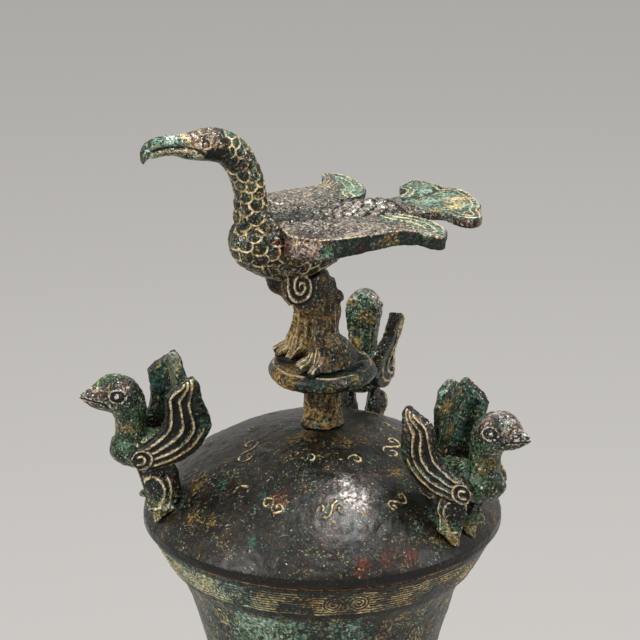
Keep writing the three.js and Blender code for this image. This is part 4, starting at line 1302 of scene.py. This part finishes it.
def buildSmallBody(name, seed, crown):
    trunk = pullTube("trunk", trunkStations, sides=20, parts=2, grow=1.015)
    head = pullTube("head", headStations, sides=20, parts=2, grow=1.01)
    eyes = [addLump((19.4, way * 6.6, 34.4), (2.2, 1.9, 1.7)) for way in (-1, 1)]
    obj = remeshed([trunk, head, *eyes], name + "BodyLook", smallLook["voxel"], 5)
    points, normals = readPoints(obj), readNormals(obj)
    x, y, z = points.T
    onSide = ease(0.3, 0.6, np.abs(normals[:, 1]))
    flat = points[:, [0, 2]]
    onHead = ease(24, 27, z)
    eyeGap = np.hypot((x - 19.4) / 3.1, (z - 34.4) / 2.5)
    ring = cut(np.abs(eyeGap - 1.12) * 2.6, 1.0) * onSide * onHead
    hole = cut(np.abs(eyeGap - 0.75) * 2.6, 0.9) * onSide * onHead
    mouth = cut(fromLine(flat, np.array([(33.4, 32.4), (30, 31.9), (26, 31.2), (23.4, 29.6)])), 0.9) * ease(
        0.2, 0.5, np.abs(normals[:, 1]))
    nostril = cut(np.abs(np.hypot(x - 28.4, (z - 34.4) * 1.3) - 1.0), 0.6) * onSide
    throat = patches(points, [(18, 0, 22, 7), (15, 5, 20, 6), (15, -5, 20, 6), (20, 0, 26, 4)])
    lumps = (0.22 * cloud(points, 4.5, seed) + 0.2 * cloud(points, 1.8, seed + 1) + 0.14 * cloud(points, 1.0, seed + 9))
    move = lumps - 0.34 + 0.2 * ring - 0.3 * hole - 0.5 * mouth - 0.35 * nostril
    writePoints(obj, points + normals * move[:, None])
    keepBends(obj)
    worn = np.clip(0.7 + 0.8 * cloud(points, 3, seed + 10), 0, 1)
    beak = ease(25, 28.5, x) * onHead
    keepFields(
        obj,
        ridge=(0.5 - 0.2 * crown) * ring * worn,
        groove=np.maximum.reduce([0.8 * hole, mouth, 0.8 * nostril]),
        teal=0.5 * patches(points, [(15, 8, 12, 5), (15, -8, 12, 5)]),
        moss=crown * patches(points, [(18, 0, 42, 4.5), (22, 0, 40.5, 4), (26, 0, 38, 3)]) + 0.5 * (1 - onHead)
        + 0.5 * ease(33, 29, z) * onHead,
        blush=0.75 * patches(points, [(24, 4, 35.5, 3), (24, -4, 35.5, 3), (17, 7, 38, 3), (17, -7, 38, 3)]) + 0.5 * beak,
        pale=0.8 * patches(points, [(30.5, 0, 34.5, 2.8), (25, 2, 37, 2.4), (25, -2, 37, 2.4)]) * (1 - 0.3 * crown),
        silver=0.7 * patches(points, [(15, 6, 40, 4), (15, -6, 40, 4), (26, 4, 35, 3), (26, -4, 35, 3)])
        + 0.8 * (1 - crown) * patches(points, [(19, 0, 42, 5), (24, 0, 39, 4)]),
        earth=np.clip(0.75 * throat + patches(points, [(28, 0, 29.5, 3), (24, 0, 28, 3)]), 0, 1),
        red=0.5 * patches(points, [(-2, 8, 6, 4), (-2, -8, 6, 4)]),
        tone=0.6 * onHead,
        toneTwo=0.5 * onHead,
    )
    return obj


wingRear = smoothLine([(15.5, 9), (14, 5.5), (9, 3.5), (0, 4.5), (-9, 7.5), (-15.5, 13), (-18.4, 20), (-17, 27),
                       (-13.5, 34), (-10.6, 44)], 4)
wingFront = smoothLine([(15.5, 10.5), (13, 13), (7.5, 16.5), (3, 21), (1.6, 27), (2.3, 36.5), (-4, 41)], 4)


def buildSmallWing(node, matrix, seed, rusty):
    look = smallLook
    obj = remeshed([drawnCopy(node, matrix)], node + "Look", look["wingVoxel"], 20)
    points, normals = readPoints(obj), readNormals(obj)
    x, y, z = points.T
    outer = ease(0.1, 0.5, normals[:, 1])
    inner = ease(0.1, 0.5, -normals[:, 1])
    wavy = points + 0.35 * np.stack([cloud(points, 5, seed + 11), 0 * x, cloud(points, 5, seed + 12)], axis=1)
    front, rear = (fromLine(wavy[:, [0, 2]], line) for line in (wingFront, wingRear))
    width = np.maximum(front + rear, 1)
    share = front / width
    # Long ribs follow the wing, and nested hooks turn round its root
    scrollX, scrollZ = look["wingScroll"]
    fromScroll = np.hypot(x - scrollX, (z - scrollZ) * 1.1)
    turn = np.arctan2(z - scrollZ, x - scrollX)
    clear = ease(4.6, 5.8, fromScroll)
    ribs = np.zeros(len(points))
    for stop, reach in ((0.14, 1), (0.38, 1), (0.6, 1), (0.8, 0)):
        rib = cut(np.abs(share - stop) * width, look["wingLine"])
        ribs = np.maximum(ribs, rib * (reach + (1 - reach) * ease(24, 18, z)))
    hooks = np.maximum(cut(np.abs(fromScroll - 4.4 - 0.3 * np.sin(turn)), 1.2),
                       cut(np.abs(fromScroll - 1.9 - 0.3 * np.cos(turn)), 1.2) * ease(-0.9, -0.7, -np.cos(turn)))
    drawn = np.maximum(ribs * clear, hooks * (1 - clear)) * outer
    drawn = np.maximum(drawn, 0.45 * ribs * clear * inner * ease(16, 22, z))
    onFace = outer * ease(0.4, 1.2, np.minimum(front, rear)) * ease(48, 45, z)
    dips = (1 - ease(0.1, 0.6, drawn)) * onFace
    lumps = 0.2 * cloud(points, 5, seed) + 0.2 * cloud(points, 1.7, seed + 1) + 0.14 * cloud(points, 0.9, seed + 13)
    move = lumps - 0.34 + 0.55 * drawn - 0.45 * dips * ease(0.7, 0.6, share)
    writePoints(obj, points + normals * move[:, None])
    keepBends(obj)
    worn = np.clip(0.85 + 0.5 * cloud(points, 5, seed + 14) + 0.4 * cloud(points, 1.5, seed + 15), 0, 1)
    band = ease(0.66, 0.72, share) * outer * ease(12, 16, z)
    streak = fromLine(points[:, [0, 2]], np.array([(-9, 13), (-3, 6), (3, 3)]))
    keepFields(
        obj,
        ridge=drawn * worn,
        groove=0.8 * dips * (1 - 0.5 * band),
        silver=0.6 * outer * patches(points, [(-8, 11, 13, 7), (0, 11, 11, 6), (-4, 11, 42, 5)]) * (1 - 0.4 * rusty),
        plum=0.8 * rusty * ease(24, 34, z) * outer,
        teal=0.9 * inner * ease(14, 20, z) + 0.45 * outer * (1 - rusty) + 0.3 * band,
        leafy=0.5 * band * ease(34, 26, z),
        pale=(0.25 + 0.6 * rusty) * patches(points, [(0, 11, 14, 6), (-6, 12, 15, 5)]) * outer
        + 0.6 * patches(points, [(-13, 12, 24, 3), (-6, 12, 42, 4)]) * outer,
        earth=cut(streak, 3.4) * outer,
        red=patches(points, [(-6, 11, 8, 4), (-11, 12, 12, 3), (-2, 10, 4, 4)]) * 0.9,
        # Painted shade on the wing's rear band
        dark=0.3 * band,
    )
    return obj


def buildSmallTail(node, matrix, seed):
    obj = remeshed([drawnCopy(node, matrix)], node + "Look", smallLook["voxel"], 16)
    points, normals = readPoints(obj), readNormals(obj)
    x, y, z = points.T
    flatness = ease(0.4, 0.8, np.abs(normals[:, 0]))
    lines = np.maximum(0.6 * cut(np.abs(y), 0.9), 0.6 * cut(np.abs(np.abs(y) - 4.2), 0.8))
    lines = lines * flatness * ease(16, 24, z) * ease(47.5, 44, z)
    lumps = 0.28 * cloud(points, 5, seed) + 0.24 * cloud(points, 2, seed + 1) + 0.14 * cloud(points, 1, seed + 16) - 0.4
    writePoints(obj, points + normals * (lumps + 0.24 * lines)[:, None])
    keepBends(obj)
    keepFields(
        obj,
        ridge=0.7 * lines,
        # Silver at the top of the tail: silvery patina, and painted highlight
        silver=0.8 * ease(43, 48, z),
        teal=0.9 * ease(12, 20, z) * ease(-0.4, 0.4, np.sin(z / 3)),
        leafy=0.6 * ease(14, 24, z) * ease(46, 38, z),
        pale=0.4 * ease(38, 46, z),
        earth=0.75 * patches(points, [(-8, 3, 26, 6), (-6, -3, 38, 6), (-8, 0, 16, 5), (-6, 4, 44, 4)]),
    )
    return obj


def buildSmallLeg(node, matrix, seed):
    thigh = addLump((1, 8.2, 11.5), (5.2, 3.4, 5.6))
    foot = addLump((2.2, 8.4, 1.6), (6.0, 3.4, 2.2))
    obj = remeshed([drawnCopy(node, matrix), thigh, foot], node + "Look", smallLook["voxel"], 14)
    points, normals = readPoints(obj), readNormals(obj)
    x, y, z = points.T
    outer = ease(0.1, 0.5, normals[:, 1])
    arc = np.hypot(x - 5.5, (z - 9) * 0.62)
    lines = np.maximum(cut(np.abs(arc - 7), 1.2), cut(np.abs(arc - 4.2), 1.2)) * outer * ease(1.4, 3, z) * ease(17, 14.5, z)
    lumps = 0.2 * cloud(points, 4, seed) + 0.2 * cloud(points, 1.7, seed + 1) + 0.14 * cloud(points, 1, seed + 17) - 0.34
    writePoints(obj, points + normals * (lumps + 0.45 * lines)[:, None])
    keepBends(obj)
    keepFields(
        obj,
        ridge=lines * np.clip(0.85 + 0.5 * cloud(points, 3, seed + 18), 0, 1),
        groove=0.5 * outer * (1 - lines) * ease(6, 9, z),
        moss=0.7 * ease(9, 3, z),
        earth=0.9 * ease(2.6, 0.6, z) + 0.7 * patches(points, [(-3, 9, 9, 3.4), (2, 9, 4, 4)]),
        red=0.8 * patches(points, [(-2, 9, 14, 3.5)]),
    )
    return obj


def smallPlaces(bird):
    stands = math.radians(bird["stands"] - 90)
    ring = smallLook["ring"]
    foot = onRim @ Matrix.Translation((ring * math.cos(stands), ring * math.sin(stands), domeHeight(ring)))
    foot = foot @ Matrix.Rotation(math.radians(bird["faces"] - 90), 4, "Z")
    hip = (foot @ Matrix.Translation((0, 0, smallLook["hip"] + bird["raise"]))
           @ Matrix.Rotation(math.radians(bird["lean"]), 4, "Y"))
    rootX, rootZ = smallLook["wingRoot"]
    drooped = (hip @ mirrorY @ Matrix.Translation((rootX, 0, rootZ))
               @ Matrix.Rotation(math.radians(-bird["droop"]), 4, "Y") @ Matrix.Translation((-rootX, 0, -rootZ)))
    opened = (drooped @ Matrix.Translation((rootX, 9, 0)) @ Matrix.Rotation(math.radians(bird["opens"]), 4, "Z")
              @ Matrix.Scale(bird["thicker"], 4, (0, 1, 0)) @ Matrix.Translation((-rootX, -9, 0)))
    return foot, hip, drooped, opened


for number, bird in enumerate(smallBirds):
    foot, hip, drooped, opened = smallPlaces(bird)
    name, seed = bird["name"], 50 + 10 * number
    rusty = 1.0 if name == "right_bird" else 0.3
    for parts in [
        (buildSmallBody(name, seed, bird["crown"]), hip, name + "_body", "bird_bronze", eagleBronze),
        (buildSmallWing(name + "_left_wing", hip, seed + 2, rusty), hip, name + "_left_wing", "wing_bronze", wingBronze),
        (buildSmallWing(name + "_right_wing", drooped, seed + 4, rusty), opened, name + "_right_wing", "wing_bronze",
         wingBronze),
        (buildSmallTail(name + "_tail", hip, seed + 6), hip, name + "_tail", "wing_bronze", wingBronze),
        (buildSmallLeg(name + "_left_leg", foot, seed + 7), foot, name + "_left_leg", "bird_bronze", eagleBronze),
        (buildSmallLeg(name + "_right_leg", foot @ mirrorY, seed + 8), foot @ mirrorY, name + "_right_leg",
         "bird_bronze", eagleBronze),
    ]:
        piece = seat(*parts)
    print(name, "dressed")


# Floor, light and camera
studio = {
    "floorColour": "#cfccc8",
    "floorGlow": 0.5,
    "worldColour": "#d4d4d6",
    "worldLevel": 0.26,
    "topLevel": 15.0,
    "leftLevel": 11.0,
    "rightLevel": 5.0,
    "aim": (-1.01, 0, 80.9),
    "distance": 1000,
    "elevation": 19.3,
    "lens": 138.5,
}


# The backdrop's even tone, for what the camera and the bronze's gloss see of it
def seenRays(tree):
    path = addNode(tree, "LightPath")
    seen = path.outputs["Is Camera Ray"]
    for ray in ("Is Glossy Ray", "Is Transmission Ray"):
        seen = addNode(tree, "Math", {"operation": "MAXIMUM"}, links={0: seen, 1: path.outputs[ray]}).outputs[0]
    return seen


bpy.ops.object.select_all(action="DESELECT")
bpy.ops.mesh.primitive_plane_add(size=14, location=(0, 3, 0))
floor = bpy.context.object
floor.name = "floor"
bpy.ops.object.transform_apply(location=True, rotation=True, scale=True)
# Matt studio paper, pale and even
paper = bpy.data.materials.new("mattStudioPaper")
paper.use_nodes = True
paperShader = paper.node_tree.nodes["Principled BSDF"]
paperShader.inputs["Base Color"].default_value = linearColour(studio["floorColour"])
paperShader.inputs["Roughness"].default_value = 0.9
paperShader.inputs["Specular IOR Level"].default_value = 0.2
paperTree = paper.node_tree
paperTree.links.new(addNode(paperTree, "MixShader", links={
    0: addNode(paperTree, "Math", {"operation": "MULTIPLY"}, {1: studio["floorGlow"]}, {0: seenRays(paperTree)}).outputs[0],
    1: paperShader.outputs[0],
    2: addNode(paperTree, "Emission", inputs={"Color": linearColour(studio["floorColour"])}).outputs[0],
}).outputs[0], paperTree.nodes["Material Output"].inputs["Surface"])
floor.data.materials.append(paper)

world = bpy.data.worlds.new("studioAir")
bpy.context.scene.world = world
world.use_nodes = True
air = world.node_tree
air.nodes.clear()
shown = addNode(air, "Background", inputs={"Color": linearColour(studio["floorColour"]), "Strength": 1.0})
soft = addNode(air, "Background", inputs={"Color": linearColour(studio["worldColour"]), "Strength": studio["worldLevel"]})
both = addNode(air, "MixShader", links={0: seenRays(air), 1: soft.outputs[0], 2: shown.outputs[0]})
addNode(air, "OutputWorld", links={"Surface": both.outputs[0]})

aim = axis + Vector(studio["aim"]) * mm + Vector((0, 0, rimLevel * mm))


def addSoftbox(name, way, distance, size, level):
    data = bpy.data.lights.new(name, "AREA")
    data.shape = "RECTANGLE"
    data.size, data.size_y = size
    data.energy = level
    lamp = bpy.data.objects.new(name, data)
    bpy.context.scene.collection.objects.link(lamp)
    way = Vector(way).normalized()
    lamp.location = aim + way * distance
    lamp.rotation_euler = (-way).to_track_quat("-Z", "Y").to_euler()
    return lamp


addSoftbox("topSoftbox", (0.2, -0.12, 0.97), 1.3, (0.5, 0.4), studio["topLevel"])
addSoftbox("leftSoftbox", (-0.72, -0.5, 0.55), 1.5, (0.5, 0.8), studio["leftLevel"])
addSoftbox("rightSoftbox", (0.85, -0.25, 0.4), 1.6, (0.3, 0.8), studio["rightLevel"])

camera = bpy.data.objects.new("camera", bpy.data.cameras.new("camera"))
bpy.context.scene.collection.objects.link(camera)
rise = math.radians(studio["elevation"])
back = Vector((0, -math.cos(rise), math.sin(rise)))
camera.location = aim + back * studio["distance"] * mm
camera.rotation_euler = (-back).to_track_quat("-Z", "Y").to_euler()
camera.data.lens = studio["lens"]
camera.data.sensor_width = 36
camera.data.clip_end = 50
bpy.context.scene.camera = camera
bpy.context.scene.view_settings.view_transform = "Standard"
print("studio ready")
